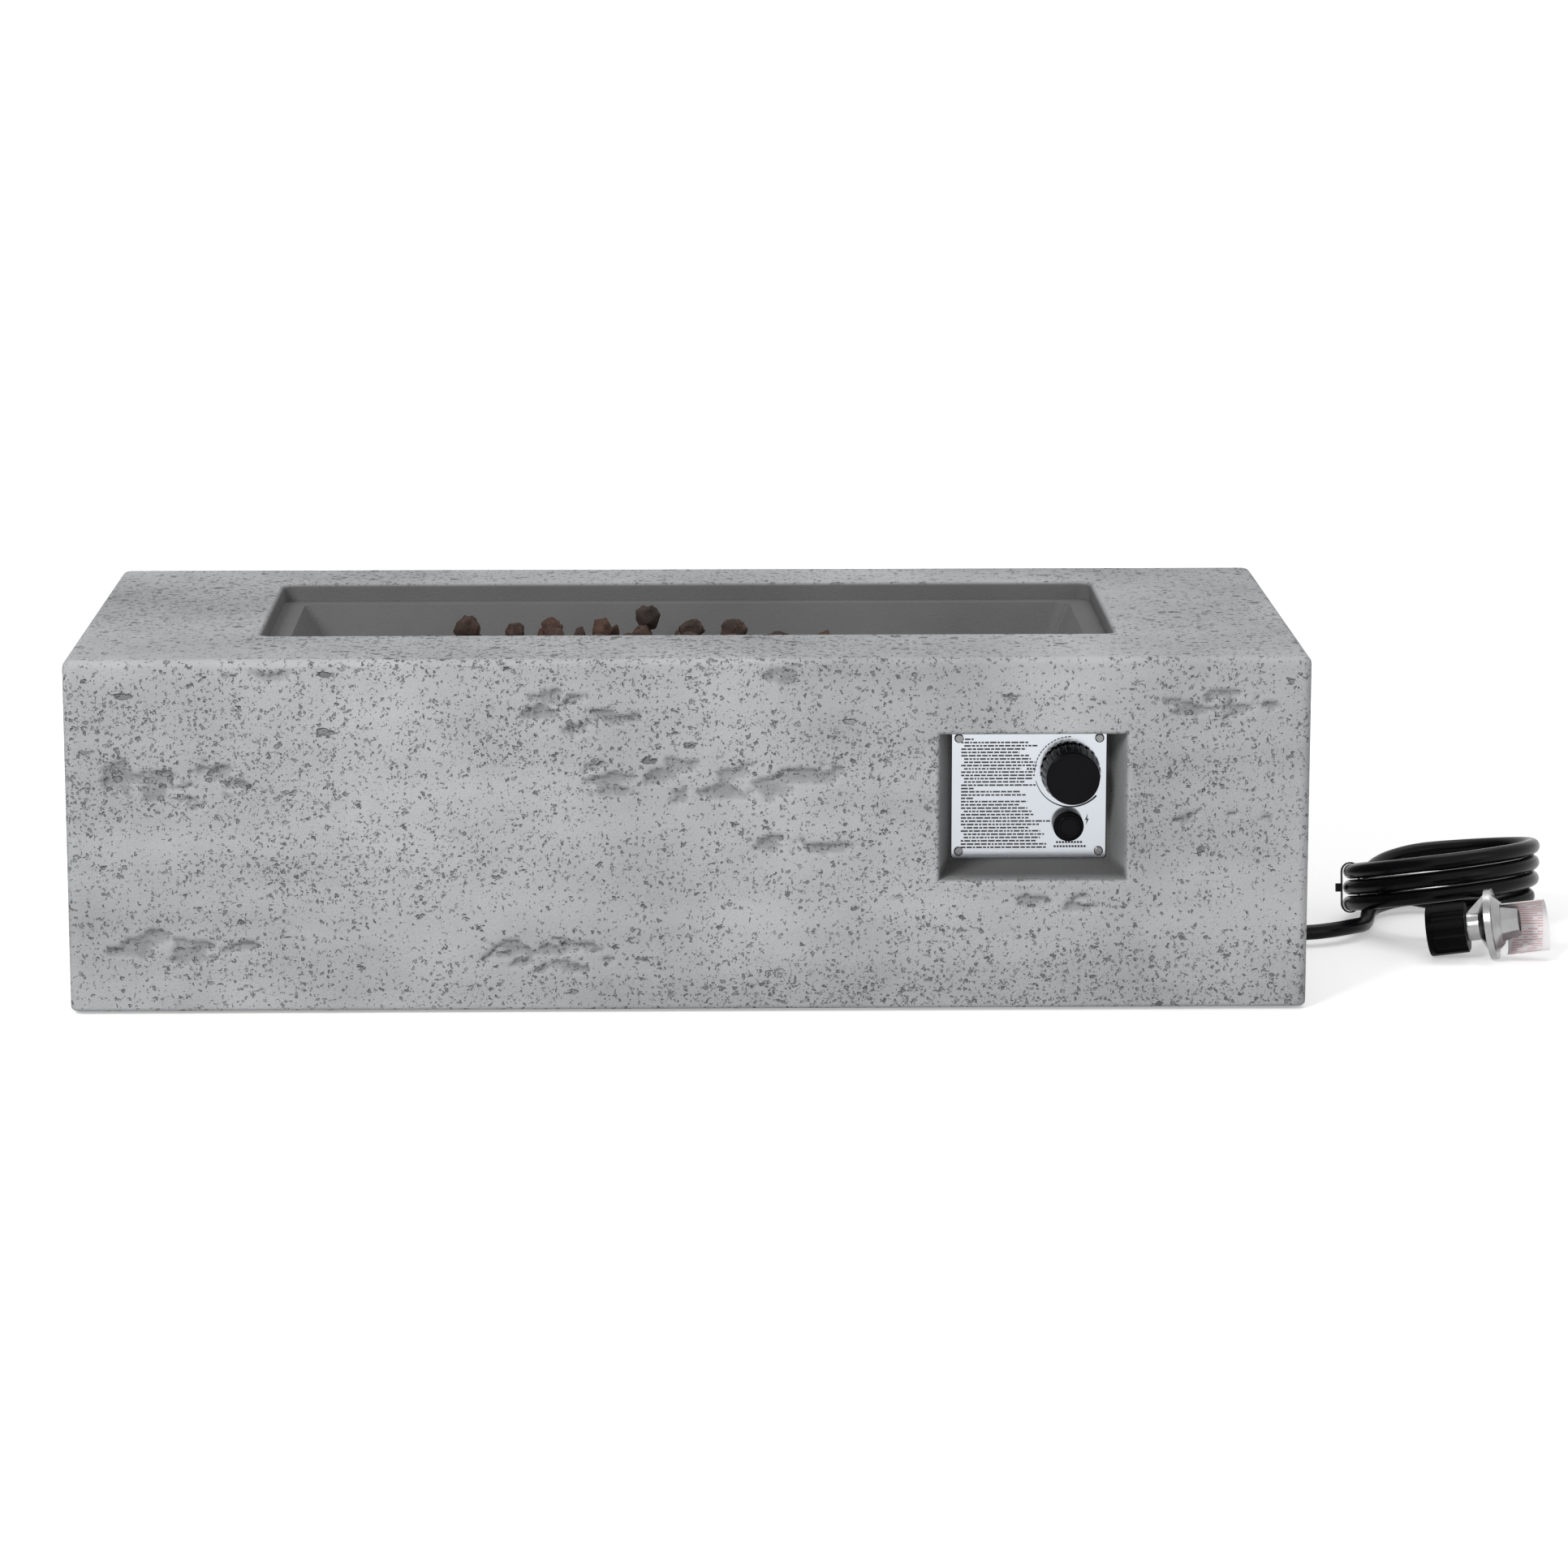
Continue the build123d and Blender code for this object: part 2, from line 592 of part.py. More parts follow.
def make_valve_body():
    end = BONNET_LENGTH + VALVE_LENGTH
    block = extrude(RectangleRounded(VALVE_WIDTH, VALVE_HEIGHT, VALVE_EDGE), VALVE_LENGTH)
    block = Pos(0, 0, BONNET_LENGTH) * block
    block = chamfer(block.edges().group_by(Axis.Z)[-1], VALVE_EDGE / 2)
    port = Pos(0, 0, BONNET_LENGTH + VALVE_PORT_DEPTH + STEM_SQUARE) * Rot(0, 90, 0)
    width = VALVE_WIDTH + 2 * VALVE_BOSS_LENGTH
    block += port * Cylinder(VALVE_BOSS_RADIUS, width)
    block -= port * Cylinder(VALVE_PORT_RADIUS, width)
    block -= rod(PLUG_RADIUS, BONNET_LENGTH, BONNET_LENGTH + PLUG_LENGTH + 3 * SEAT)
    return at_panel(block - rod(VALVE_PORT_RADIUS, BONNET_LENGTH, end), KNOB_X, KNOB_Z)


def make_magnet_unit():
    low = BONNET_LENGTH + VALVE_LENGTH
    unit = hex_bar(2 * MAGNET_RADIUS, low, low + MAGNET_LENGTH / 2)
    unit += rod(MAGNET_RADIUS * 0.8, low, low + MAGNET_LENGTH)
    return at_panel(unit, KNOB_X, KNOB_Z)


def make_igniter_housing():
    front = -PANEL_THICKNESS - BEZEL_LENGTH
    bezel = rod(BEZEL_RADIUS, front, -PANEL_THICKNESS)
    bezel = chamfer(bezel.edges().group_by(Axis.Z)[0], (BEZEL_RADIUS - BUTTON_RADIUS) / 2)
    housing = bezel + rod(BARREL_RADIUS, -PANEL_THICKNESS, BARREL_LENGTH)
    housing -= rod(BUTTON_RADIUS + FIT, front, -PANEL_THICKNESS)
    housing -= rod(BATTERY_RADIUS + FIT, -PANEL_THICKNESS, BARREL_LENGTH - BARREL_END_WALL)
    return at_panel(housing, IGNITER_X, IGNITER_Z)


def make_igniter_nut():
    nut = hex_bar(IGNITER_NUT_FLATS, 0, IGNITER_NUT_THICKNESS)
    return at_panel(nut - rod(BARREL_RADIUS + FIT, 0, IGNITER_NUT_THICKNESS), IGNITER_X, IGNITER_Z)


def button_front():
    return -PANEL_THICKNESS - BEZEL_LENGTH - BUTTON_PROUD


def make_igniter_button():
    front = button_front()
    dish = BUTTON_RADIUS - 2 * BUTTON_DISH
    button = rod(BUTTON_RADIUS, front, front + BUTTON_LENGTH)
    button = fillet(button.edges().group_by(Axis.Z)[0], BUTTON_DISH)
    return at_panel(button - Cone(dish, dish - BUTTON_DISH, BUTTON_DISH, align=on_base).moved(Pos(0, 0, front)),
                    IGNITER_X, IGNITER_Z)


def battery_front():
    return BARREL_LENGTH - BARREL_END_WALL - BATTERY_LENGTH


def make_igniter_spring():
    low = button_front() + BUTTON_LENGTH + SEAT
    high = battery_front() - SEAT
    spring = coil_spring(IGNITER_SPRING_RADIUS, IGNITER_SPRING_WIRE / 2, IGNITER_SPRING_TURNS, low, high)
    return at_panel(spring, IGNITER_X, IGNITER_Z)


def make_battery():
    low = battery_front()
    cell = rod(BATTERY_RADIUS, low, low + BATTERY_LENGTH)
    return at_panel(cell, IGNITER_X, IGNITER_Z)


def port_y():
    return PANEL_BACK + BONNET_LENGTH + VALVE_PORT_DEPTH + STEM_SQUARE


def port_x(side):
    return KNOB_X + side * (VALVE_WIDTH / 2 + VALVE_BOSS_LENGTH)


def make_inlet_fitting():
    fitting = hex_bar(2 * FERRULE_RADIUS, 0, BARB_HEX) + rod(FERRULE_RADIUS, BARB_HEX, BARB_HEX + FERRULE_LENGTH)
    return Pos(port_x(1), port_y(), KNOB_Z) * Rot(0, 90, 0) * fitting


def make_outlet_fitting():
    fitting = hex_bar(INJECTOR_FLATS, 0, INJECTOR_HEX)
    return Pos(port_x(-1), port_y(), KNOB_Z) * Rot(0, -90, 0) * fitting


def make_supply_tube():
    start = (port_x(-1) - INJECTOR_HEX, port_y(), KNOB_Z)
    end = (0, OPENING_SHIFT, MIXER_LOW - INJECTOR_COLLAR - INJECTOR_HEX)
    return routed_tube([start, (190, port_y(), KNOB_Z), (60, -60, 62), (0, OPENING_SHIFT, 70), end], SUPPLY_RADIUS)


def make_tray():
    outer = extrude(RectangleRounded(TRAY_LENGTH, TRAY_WIDTH, OPENING_CORNER), TRAY_RIM)
    edge = 2 * TRAY_SHEET
    inner = RectangleRounded(TRAY_LENGTH - edge, TRAY_WIDTH - edge, OPENING_CORNER - TRAY_SHEET)
    tray = Pos(0, OPENING_SHIFT, FLOOR_Z) * (outer - Pos(0, 0, TRAY_SHEET) * extrude(inner, TRAY_RIM))
    tray -= Pos(0, OPENING_SHIFT, 0) * rod(MIXER_RADIUS + FIT, FLOOR_Z, TRAY_TOP)
    for x, y in sensor_places():
        tray -= Pos(x, y, 0) * rod(SENSOR_HOLE, FLOOR_Z, TRAY_TOP)
    return tray


def make_burner_tube():
    lying = Pos(0, OPENING_SHIFT, BURNER_Z) * Rot(0, 90, 0)
    tube = Cylinder(BURNER_RADIUS, BURNER_LENGTH)
    tube -= Cylinder(BURNER_RADIUS - BURNER_WALL, BURNER_LENGTH - 2 * BURNER_WALL)
    tube = lying * tube
    count = int((BURNER_LENGTH - 4 * BURNER_RADIUS) // BURNER_PORT_PITCH)
    drill = rod(BURNER_PORT_RADIUS, BURNER_RADIUS / 2, 2 * BURNER_RADIUS)
    ports = []
    for index in range(count):
        x = (index - (count - 1) / 2) * BURNER_PORT_PITCH
        for lean in (-BURNER_PORT_ANGLE, BURNER_PORT_ANGLE):
            ports.append(Pos(x, OPENING_SHIFT, BURNER_Z) * Rot(lean, 0, 0) * drill)
    inlet = rod(MIXER_RADIUS - MIXER_WALL, BURNER_Z - 2 * BURNER_RADIUS, BURNER_Z)
    return tube - ports - Pos(0, OPENING_SHIFT, 0) * inlet


def make_saddles():
    height = BURNER_Z - TRAY_TOP
    cheek = Pos(0, -height / 2) * Rectangle(2 * (BURNER_RADIUS + SADDLE_SHEET), height)
    profile = cheek - Circle(BURNER_RADIUS + FIT)
    saddles = []
    for side in (-1, 1):
        face = Plane(origin=(side * SADDLE_X, OPENING_SHIFT, BURNER_Z), x_dir=(0, 1, 0), z_dir=(1, 0, 0))
        saddles.append(extrude(face * profile, SADDLE_WIDTH / 2, both=True))
    return Compound(children=saddles)


def make_mixer():
    tube = rod(MIXER_RADIUS, MIXER_LOW, BURNER_Z) - rod(MIXER_RADIUS - MIXER_WALL, MIXER_LOW, BURNER_Z)
    tube -= Pos(0, 0, BURNER_Z) * Rot(0, 90, 0) * Cylinder(BURNER_RADIUS, 4 * BURNER_RADIUS)
    window = Box(2 * MIXER_RADIUS, AIR_WINDOW_WIDTH, AIR_WINDOW_HEIGHT, align=(Align.MIN, Align.CENTER, Align.MIN))
    window = Pos(0, 0, MIXER_LOW + AIR_WINDOW_RISE) * window
    tube -= [Rot(0, 0, turn * 360 / AIR_WINDOWS) * window for turn in range(AIR_WINDOWS)]
    return Pos(0, OPENING_SHIFT, 0) * tube


def make_mixer_nut():
    high = FLOOR_Z - TROUGH_WALL
    nut = hex_bar(MIXER_NUT_FLATS, high - MIXER_NUT_THICKNESS, high)
    return Pos(0, OPENING_SHIFT, 0) * (nut - rod(MIXER_RADIUS + FIT, high - MIXER_NUT_THICKNESS, high))


def make_injector():
    seat = MIXER_LOW - INJECTOR_COLLAR
    spigot = MIXER_LOW + INJECTOR_SPIGOT
    injector = hex_bar(INJECTOR_FLATS, seat - INJECTOR_HEX, seat) + rod(MIXER_RADIUS, seat, MIXER_LOW)
    injector += rod(MIXER_RADIUS - MIXER_WALL - FIT, MIXER_LOW, spigot)
    nozzle = Cone(SUPPLY_RADIUS, SUPPLY_RADIUS / 2, INJECTOR_NOZZLE, align=on_base)
    injector += Pos(0, 0, spigot) * nozzle
    bore = rod(INJECTOR_ORIFICE, seat - INJECTOR_HEX, spigot + INJECTOR_NOZZLE)
    return Pos(0, OPENING_SHIFT, 0) * (injector - bore)


def make_sensor_bracket():
    shelf_z = TRAY_TOP + BRACKET_HEIGHT
    back = OPENING_SHIFT + SENSOR_Y - BRACKET_DEPTH / 2
    side = Plane(origin=(SENSOR_X, back, TRAY_TOP), x_dir=(0, 1, 0), z_dir=(1, 0, 0))
    low = (Align.MIN, Align.MIN)
    foot = Rectangle(BRACKET_SHEET * 2, BRACKET_SHEET, align=low)
    riser = Rectangle(BRACKET_SHEET, BRACKET_HEIGHT, align=low)
    shelf = Pos(0, BRACKET_HEIGHT - BRACKET_SHEET) * Rectangle(BRACKET_DEPTH, BRACKET_SHEET, align=low)
    bracket = extrude(side * (foot + riser + shelf), BRACKET_LENGTH / 2, both=True)
    holes = (CERAMIC_RADIUS, THERMOCOUPLE_RADIUS)
    for (x, y), radius in zip(sensor_places(), holes):
        bracket -= Pos(x, y, 0) * rod(radius + FIT, shelf_z - BRACKET_SHEET, shelf_z)
    return bracket


def make_ceramic():
    shelf_z = TRAY_TOP + BRACKET_HEIGHT
    stick = rod(CERAMIC_RADIUS, FLOOR_Z - CERAMIC_DROP, FLOOR_Z + CERAMIC_RISE)
    stick += rod(CERAMIC_RADIUS + BRACKET_SHEET, shelf_z, shelf_z + 2 * BRACKET_SHEET)
    return Pos(*sensor_places()[0], 0) * stick


def make_electrode():
    x, y = sensor_places()[0]
    low = FLOOR_Z + CERAMIC_RISE
    high = low + ELECTRODE_RISE
    path = FilletPolyline((x, y, low), (x, y, high), (x, y + ELECTRODE_REACH, high), radius=4 * ELECTRODE_RADIUS)
    return tube_along(path, ELECTRODE_RADIUS)


def make_thermocouple():
    shelf_z = TRAY_TOP + BRACKET_HEIGHT
    probe = rod(THERMOCOUPLE_RADIUS, FLOOR_Z - THERMOCOUPLE_DROP, FLOOR_Z + THERMOCOUPLE_RISE)
    probe = fillet(probe.edges().group_by(Axis.Z)[-1], THERMOCOUPLE_RADIUS * 0.8)
    probe += rod(THERMOCOUPLE_RADIUS + BRACKET_SHEET, shelf_z, shelf_z + 2 * BRACKET_SHEET)
    return Pos(*sensor_places()[1], 0) * probe


def make_igniter_lead():
    x, y = sensor_places()[0]
    start = (IGNITER_X, PANEL_BACK + BARREL_LENGTH, IGNITER_Z)
    end = (x, y, FLOOR_Z - CERAMIC_DROP)
    return routed_tube([start, (IGNITER_X, -85, IGNITER_Z), (255, -30, 135), (x, y, 150), end], IGNITER_LEAD_RADIUS)


def make_thermocouple_lead():
    x, y = sensor_places()[1]
    start = (KNOB_X, PANEL_BACK + BONNET_LENGTH + VALVE_LENGTH + MAGNET_LENGTH, KNOB_Z)
    end = (x, y, FLOOR_Z - THERMOCOUPLE_DROP)
    return routed_tube([start, (KNOB_X, -75, KNOB_Z), (270, -25, 172), (x, y, 172), end], CAPILLARY_RADIUS)


def make_rock(chance, place, radius, height):
    """Angular lump inside an upright ellipsoid, with its lowest corner on its seat."""
    corners = []
    for index in range(ROCK_POINTS):
        rise = 1 - 2 * (index + 0.5) / ROCK_POINTS
        angle = index * math.pi * (3 - math.sqrt(5)) + chance.uniform(-0.3, 0.3)
        swell = chance.uniform(0.8, 1)
        ring = swell * radius * math.sqrt(1 - rise**2)
        corners.append((ring * math.cos(angle), ring * math.sin(angle), swell * rise * height / 2))
    drop = min(corner[2] for corner in corners)
    return Pos(*place) * Pos(0, 0, SEAT - drop) * ConvexPolyhedron(corners)


def make_rocks():
    chance = random.Random(ROCK_SEED)
    pitch = 2 * ROCK_RADIUS + ROCK_GAP
    inner_row = BURNER_RADIUS + SADDLE_SHEET + ROCK_GAP + ROCK_RADIUS
    columns = int((TRAY_LENGTH - 2 * TRAY_RIM) // pitch)
    rocks = []
    for row in (-inner_row - pitch, -inner_row, inner_row, inner_row + pitch):
        for column in range(columns):
            stagger = pitch / 4 if abs(row) == inner_row else -pitch / 4
            x = (column - (columns - 1) / 2) * pitch + stagger
            height = (ROCK_LOW + (ROCK_HIGH - ROCK_LOW) * heap_share(x)) * chance.uniform(0.8, 1.1)
            radius = ROCK_RADIUS * chance.uniform(0.78, 1)
            spare = ROCK_RADIUS - radius
            shift_x = chance.uniform(-spare, spare)
            shift_y = chance.uniform(-spare, spare)
            beside_sensor = abs(x - SENSOR_X) < BRACKET_LENGTH / 2 + ROCK_RADIUS + ROCK_GAP
            if row == -inner_row and beside_sensor:
                continue
            place = (x + shift_x, OPENING_SHIFT + row + shift_y, TRAY_TOP)
            rocks.append(make_rock(chance, place, radius, height))
    return rocks + top_rocks(chance, rocks, inner_row + pitch / 2)


def heap_share(x):
    """Height of the heap along the burner, as a share of its highest place."""
    return max(0, 1 - ((x - HEAP_X) / HEAP_REACH) ** 2)


def settle(rock, heap):
    """Lowers a rock on to the heap, each time by the clear distance."""
    clear = min(rock.distance_to(other) for other in heap)
    while clear > ROCK_TOUCH:
        rock = Pos(0, 0, ROCK_TOUCH / 3 - clear) * rock
        clear = min(rock.distance_to(other) for other in heap)
    return rock


def top_rocks(chance, bed, valley):
    """Rocks that lie in the hollows of the bed and over the burner tube."""
    rocks = []
    count = int(TRAY_LENGTH // TOP_ROCK_PITCH)
    tube = Pos(0, OPENING_SHIFT, BURNER_Z) * Cylinder(BURNER_RADIUS, BURNER_LENGTH, rotation=(0, 90, 0))
    floor = Pos(0, OPENING_SHIFT, TRAY_TOP - ROCK_GAP) * Box(TRAY_LENGTH, TRAY_WIDTH, 2 * ROCK_GAP)
    carriers = [floor, tube, *make_saddles().solids()]
    for row in (-valley, 0, valley):
        for column in range(count):
            x = (column - (count - 1) / 2) * TOP_ROCK_PITCH + chance.uniform(-4, 4)
            y = OPENING_SHIFT + row + chance.uniform(-5, 5)
            radius = TOP_ROCK_RADIUS * chance.uniform(0.72, 1)
            height = TOP_ROCK_HEIGHT * chance.uniform(0.75, 1.05)
            rock = make_rock(chance, (x, y, TRAY_TOP + ROCK_HIGH), radius, height)
            if heap_share(x) < TOP_ROCK_SHARE + chance.uniform(0, 0.3):
                continue
            reach = 2 * TOP_ROCK_RADIUS
            near = [other for other in bed + rocks if math.dist(tuple(other.center())[:2], (x, y)) < reach]
            rocks.append(settle(rock, [*carriers, *near]))
    return rocks


def make_lava():
    return Compound(children=make_rocks())


def make_grommet():
    bore = Rot(0, 90, 0) * Cylinder(HOSE_RADIUS + FIT, 4 * WALL)
    return hose_notch(0) - Pos(HOSE_EXIT_X, HOSE_EXIT_Y, HOSE_EXIT_Z) * bore


def make_inner_hose():
    start = (port_x(1) + BARB_HEX + FERRULE_LENGTH, port_y(), KNOB_Z)
    end = (HOSE_EXIT_X, HOSE_EXIT_Y, HOSE_EXIT_Z)
    bends = [(440, port_y(), KNOB_Z), (470, -120, 110), (458, -40, 30), (482, HOSE_EXIT_Y, HOSE_EXIT_Z)]
    return routed_tube([start, *bends, end], HOSE_RADIUS)


def coil_plan(angle):
    """Coil's centre line seen from above: an inner turn that widens into the outer turns."""
    widen = min(max((-180 - angle) / 180, 0), 1)
    share = (1 - math.cos(math.pi * widen)) / 2
    tuck = max(-360 * (COIL_TURNS + 1) + 90 - angle, 0) / 90
    radius = INNER_RADIUS + (COIL_RADIUS - INNER_RADIUS) * share - COIL_TUCK * tuck
    x = INNER_X + (COIL_X - INNER_X) * share + radius * math.cos(math.radians(angle))
    y = INNER_Y + (COIL_Y - INNER_Y) * share + radius * math.sin(math.radians(angle))
    return x, y


def leaning_height(angle):
    """Height of the leaning outer turns, which wind down clockwise."""
    x, y = coil_plan(angle)
    level = COIL_LOW + COIL_PITCH * (angle / 360 + COIL_TURNS + 1)
    return level + COIL_LEAN_RIGHT * (x - COIL_X) - COIL_LEAN_FRONT * (y - COIL_Y)


def coil_point(angle):
    """Centre of the hose at an angle that falls from INNER_START as the hose winds."""
    x, y = coil_plan(angle)
    if angle <= -270:
        return Vector(x, y, leaning_height(angle))
    climb = ((INNER_START - angle) / (INNER_START + 270)) ** 1.25
    return Vector(x, y, HOSE_GROUND + (leaning_height(-270) - HOSE_GROUND) * climb)


def coil_way(angle):
    """Direction in which the hose winds."""
    step = 0.5
    return (coil_point(angle - step) - coil_point(min(angle + step, INNER_START))).normalized()


def hose_end(distance):
    """Point straight out from the regulator's outlet."""
    return at_regulator(Pos(OUTLET_X, distance, 0)).position


def coil_path():
    """Centre line of the whole coil, from the lead on the ground to the ferrule."""
    last = -360 * (COIL_TURNS + 1)
    angles = [INNER_START] + list(range(90, last - 1, -90))
    stations = [(coil_point(angle), coil_way(angle)) for angle in angles]
    ferrule_end = OUTLET_REACH + BARB_HEX + FERRULE_LENGTH
    fitting = hose_end(ferrule_end)
    straight = hose_end(ferrule_end + 2 * HOSE_RADIUS)
    stations.append((straight, (fitting - straight).normalized()))
    start, way = stations[0]
    lead_end = start - way * 2 * HOSE_RADIUS
    edges = [Edge.make_line(lead_end, start), *wound_path(stations), Edge.make_line(straight, fitting)]
    return Wire(edges)


def least_gap(path, radius):
    """Narrowest space between strands of one wound tube, measured on points."""
    count = int(path.length / radius)
    places = [path @ (index / count) for index in range(count + 1)]
    apart = int(12 * radius / (path.length / count))
    nearest = min(
        (places[a] - places[b]).length
        for a in range(count + 1)
        for b in range(a + apart, count + 1)
    )
    return nearest - 2 * radius


def make_hose_coil():
    path = coil_path()
    print(f"hose coil least gap {least_gap(path, HOSE_RADIUS):.2f} mm")
    return tube_along(path, HOSE_RADIUS)


def make_hose_lead():
    start = (HOSE_EXIT_X, HOSE_EXIT_Y, HOSE_EXIT_Z)
    path = coil_path()
    end = path @ 0
    last_bend = end - (path % 0) * LEAD_LAST_RUN
    bends = [(562, HOSE_EXIT_Y, HOSE_EXIT_Z), (588.5, 2.5, 13), (611.5, 22, 12.4), tuple(last_bend)]
    return routed_tube([start, *bends, tuple(end)], HOSE_RADIUS)


def make_hose_tie():
    """Strap round the left-hand strands of the outer turns."""
    angles = [-180 - 360 * turn for turn in range(1, COIL_TURNS + 1)]
    top, low = coil_point(angles[0]), coil_point(angles[-1])
    middle = (top + low) * 0.5
    inside = HOSE_RADIUS + SEAT
    across = Plane(origin=middle, x_dir=(1, 0, 0), z_dir=coil_way(angles[1]))
    span = abs((top - low).dot(across.y_dir))
    strap = Rot(0, 0, 90) * SlotCenterToCenter(span, 2 * (inside + TIE_THICKNESS))
    strap -= Rot(0, 0, 90) * SlotCenterToCenter(span, 2 * inside)
    band = extrude(across * strap, TIE_WIDTH / 2, both=True)
    lock = Box(4 * TIE_THICKNESS, TIE_WIDTH + 2 * TIE_THICKNESS, TIE_WIDTH)
    lock = Pos(-inside - 2.5 * TIE_THICKNESS, 0, 0) * lock
    return band + across.location * lock


def along_x(shape):
    """Turns a shape built along Z so that it points along +X."""
    return Rot(0, 90, 0) * shape


def make_regulator_body():
    half = DIAPHRAGM_THICKNESS / 2
    neck = CHAMBER_RADIUS
    body = turned(
        (0, -CHAMBER_LENGTH),
        (neck, -CHAMBER_LENGTH),
        (neck, -CHAMBER_LENGTH / 2),
        (FLANGE_RADIUS - 2 * FLANGE_THICKNESS, -FLANGE_THICKNESS - half),
        (FLANGE_RADIUS, -FLANGE_THICKNESS),
        (FLANGE_RADIUS, 0),
        (DIAPHRAGM_RADIUS, 0),
        (DIAPHRAGM_RADIUS, -half),
        (0, -half),
    )
    body = along_x(body)
    outlet = Pos(OUTLET_X, 0, 0) * Rot(-90, 0, 0) * rod(OUTLET_RADIUS, 0, OUTLET_REACH)
    web_outline = Polyline(
        (-CHAMBER_LENGTH, 0),
        (-CHAMBER_LENGTH, neck),
        (-FLANGE_THICKNESS, FLANGE_RADIUS - FLANGE_THICKNESS),
        (-FLANGE_THICKNESS, 0),
        close=True,
    )
    web = extrude(Plane.XZ * make_face(web_outline), FLANGE_THICKNESS, both=True)
    bore = along_x(rod(NIPPLE_RADIUS, -CHAMBER_LENGTH, -CHAMBER_LENGTH + NIPPLE_RADIUS))
    return at_regulator(body + outlet + web - bore)


def make_diaphragm():
    half = DIAPHRAGM_THICKNESS / 2
    return at_regulator(along_x(rod(DIAPHRAGM_RADIUS, -half, half)))


def make_regulator_bonnet():
    half = DIAPHRAGM_THICKNESS / 2
    rim = FLANGE_RADIUS - 2 * FLANGE_THICKNESS
    bonnet = turned(
        (DIAPHRAGM_RADIUS, 0),
        (FLANGE_RADIUS, 0),
        (FLANGE_RADIUS, FLANGE_THICKNESS),
        (rim, FLANGE_THICKNESS + half),
        (DOME_RADIUS, DOME_LENGTH),
        (0, DOME_LENGTH),
        (0, half),
        (DIAPHRAGM_RADIUS, half),
    )
    return at_regulator(along_x(bonnet))


def make_regulator_cap():
    base = RegularPolygon(CAP_FLATS / 2, 8, major_radius=False)
    end = RegularPolygon(CAP_FLATS / 2 - CAP_TAPER, 8, major_radius=False)
    cap = loft([Pos(0, 0, DOME_LENGTH) * base, Pos(0, 0, DOME_LENGTH + CAP_LENGTH) * end])
    pocket = rod(CAP_FLATS / 2 - 2 * CAP_TAPER, DOME_LENGTH + CAP_LENGTH - CAP_TAPER, DOME_LENGTH + CAP_LENGTH)
    return at_regulator(along_x(Rot(0, 0, 22.5) * (cap - pocket)))


def nut_back():
    return -CHAMBER_LENGTH - NUT_GAP


def make_nipple():
    collar = nut_back() - NUT_BACK - SEAT
    tip = nut_back() - NUT_LENGTH * 0.75
    nipple = rod(NIPPLE_RADIUS - FIT, tip, -CHAMBER_LENGTH + NIPPLE_RADIUS)
    nipple += rod(NIPPLE_COLLAR_RADIUS, collar - NIPPLE_COLLAR, collar)
    nipple = chamfer(nipple.edges().group_by(Axis.Z)[0], NIPPLE_RADIUS / 4)
    return at_regulator(along_x(nipple - rod(NIPPLE_BORE, tip, tip + NUT_LENGTH / 2)))


def make_coupling_nut():
    back = nut_back()
    mouth = back - NUT_LENGTH
    nut = rod(NUT_RADIUS, mouth, back)
    nut = chamfer(nut.edges().filter_by(GeomType.CIRCLE), NUT_GAP)
    flute = rod(NUT_FLUTE_RADIUS, mouth + NUT_BACK, back)
    flute = Pos(NUT_RADIUS + NUT_FLUTE_RADIUS - NUT_FLUTE_DEPTH, 0, 0) * flute
    nut -= [Rot(0, 0, turn * 360 / NUT_FLUTES) * flute for turn in range(NUT_FLUTES)]
    nut -= rod(NUT_BORE, mouth, back - NUT_BACK)
    return at_regulator(along_x(nut - rod(NIPPLE_RADIUS, mouth, back)))


def make_outlet_barb():
    barb = Rot(0, 0, 30) * hex_bar(BARB_FLATS, OUTLET_REACH, OUTLET_REACH + BARB_HEX)
    return at_regulator(Pos(OUTLET_X, 0, 0) * Rot(-90, 0, 0) * barb)


def make_ferrule():
    low = OUTLET_REACH + BARB_HEX
    high = low + FERRULE_LENGTH
    waist = FERRULE_RADIUS - FIT * 8
    step = FERRULE_LENGTH / 6
    crimp = turned(
        (0, low),
        (FERRULE_RADIUS, low),
        (FERRULE_RADIUS, low + step),
        (waist, low + 2 * step),
        (waist, high - 2 * step),
        (FERRULE_RADIUS, high - step),
        (FERRULE_RADIUS, high),
        (0, high),
    )
    return at_regulator(Pos(OUTLET_X, 0, 0) * Rot(-90, 0, 0) * crimp)


def make_tag():
    """Curled paper tag that hangs over the cap and turns forward at the ground."""
    corner = CAP_FLATS / 2 * math.tan(math.pi / 8)
    sag = TAG_RADIUS - math.sqrt(TAG_RADIUS**2 - corner**2)
    top = CAP_FLATS / 2 + sag + SEAT + TAG_THICKNESS / 2
    low = top - 2 * TAG_RADIUS
    curl = CenterArc((0, top - TAG_RADIUS), TAG_RADIUS, 90, -180)
    tail = Line((0, low), (-TAG_TAIL, low + TAG_TAIL / 6))
    strip = trace(Curve() + curl + tail, TAG_THICKNESS)
    side = Plane(origin=(DOME_LENGTH + SEAT, 0, 0), x_dir=(0, 1, 0), z_dir=(1, 0, 0))
    return at_regulator(extrude(side * strip, TAG_LENGTH))


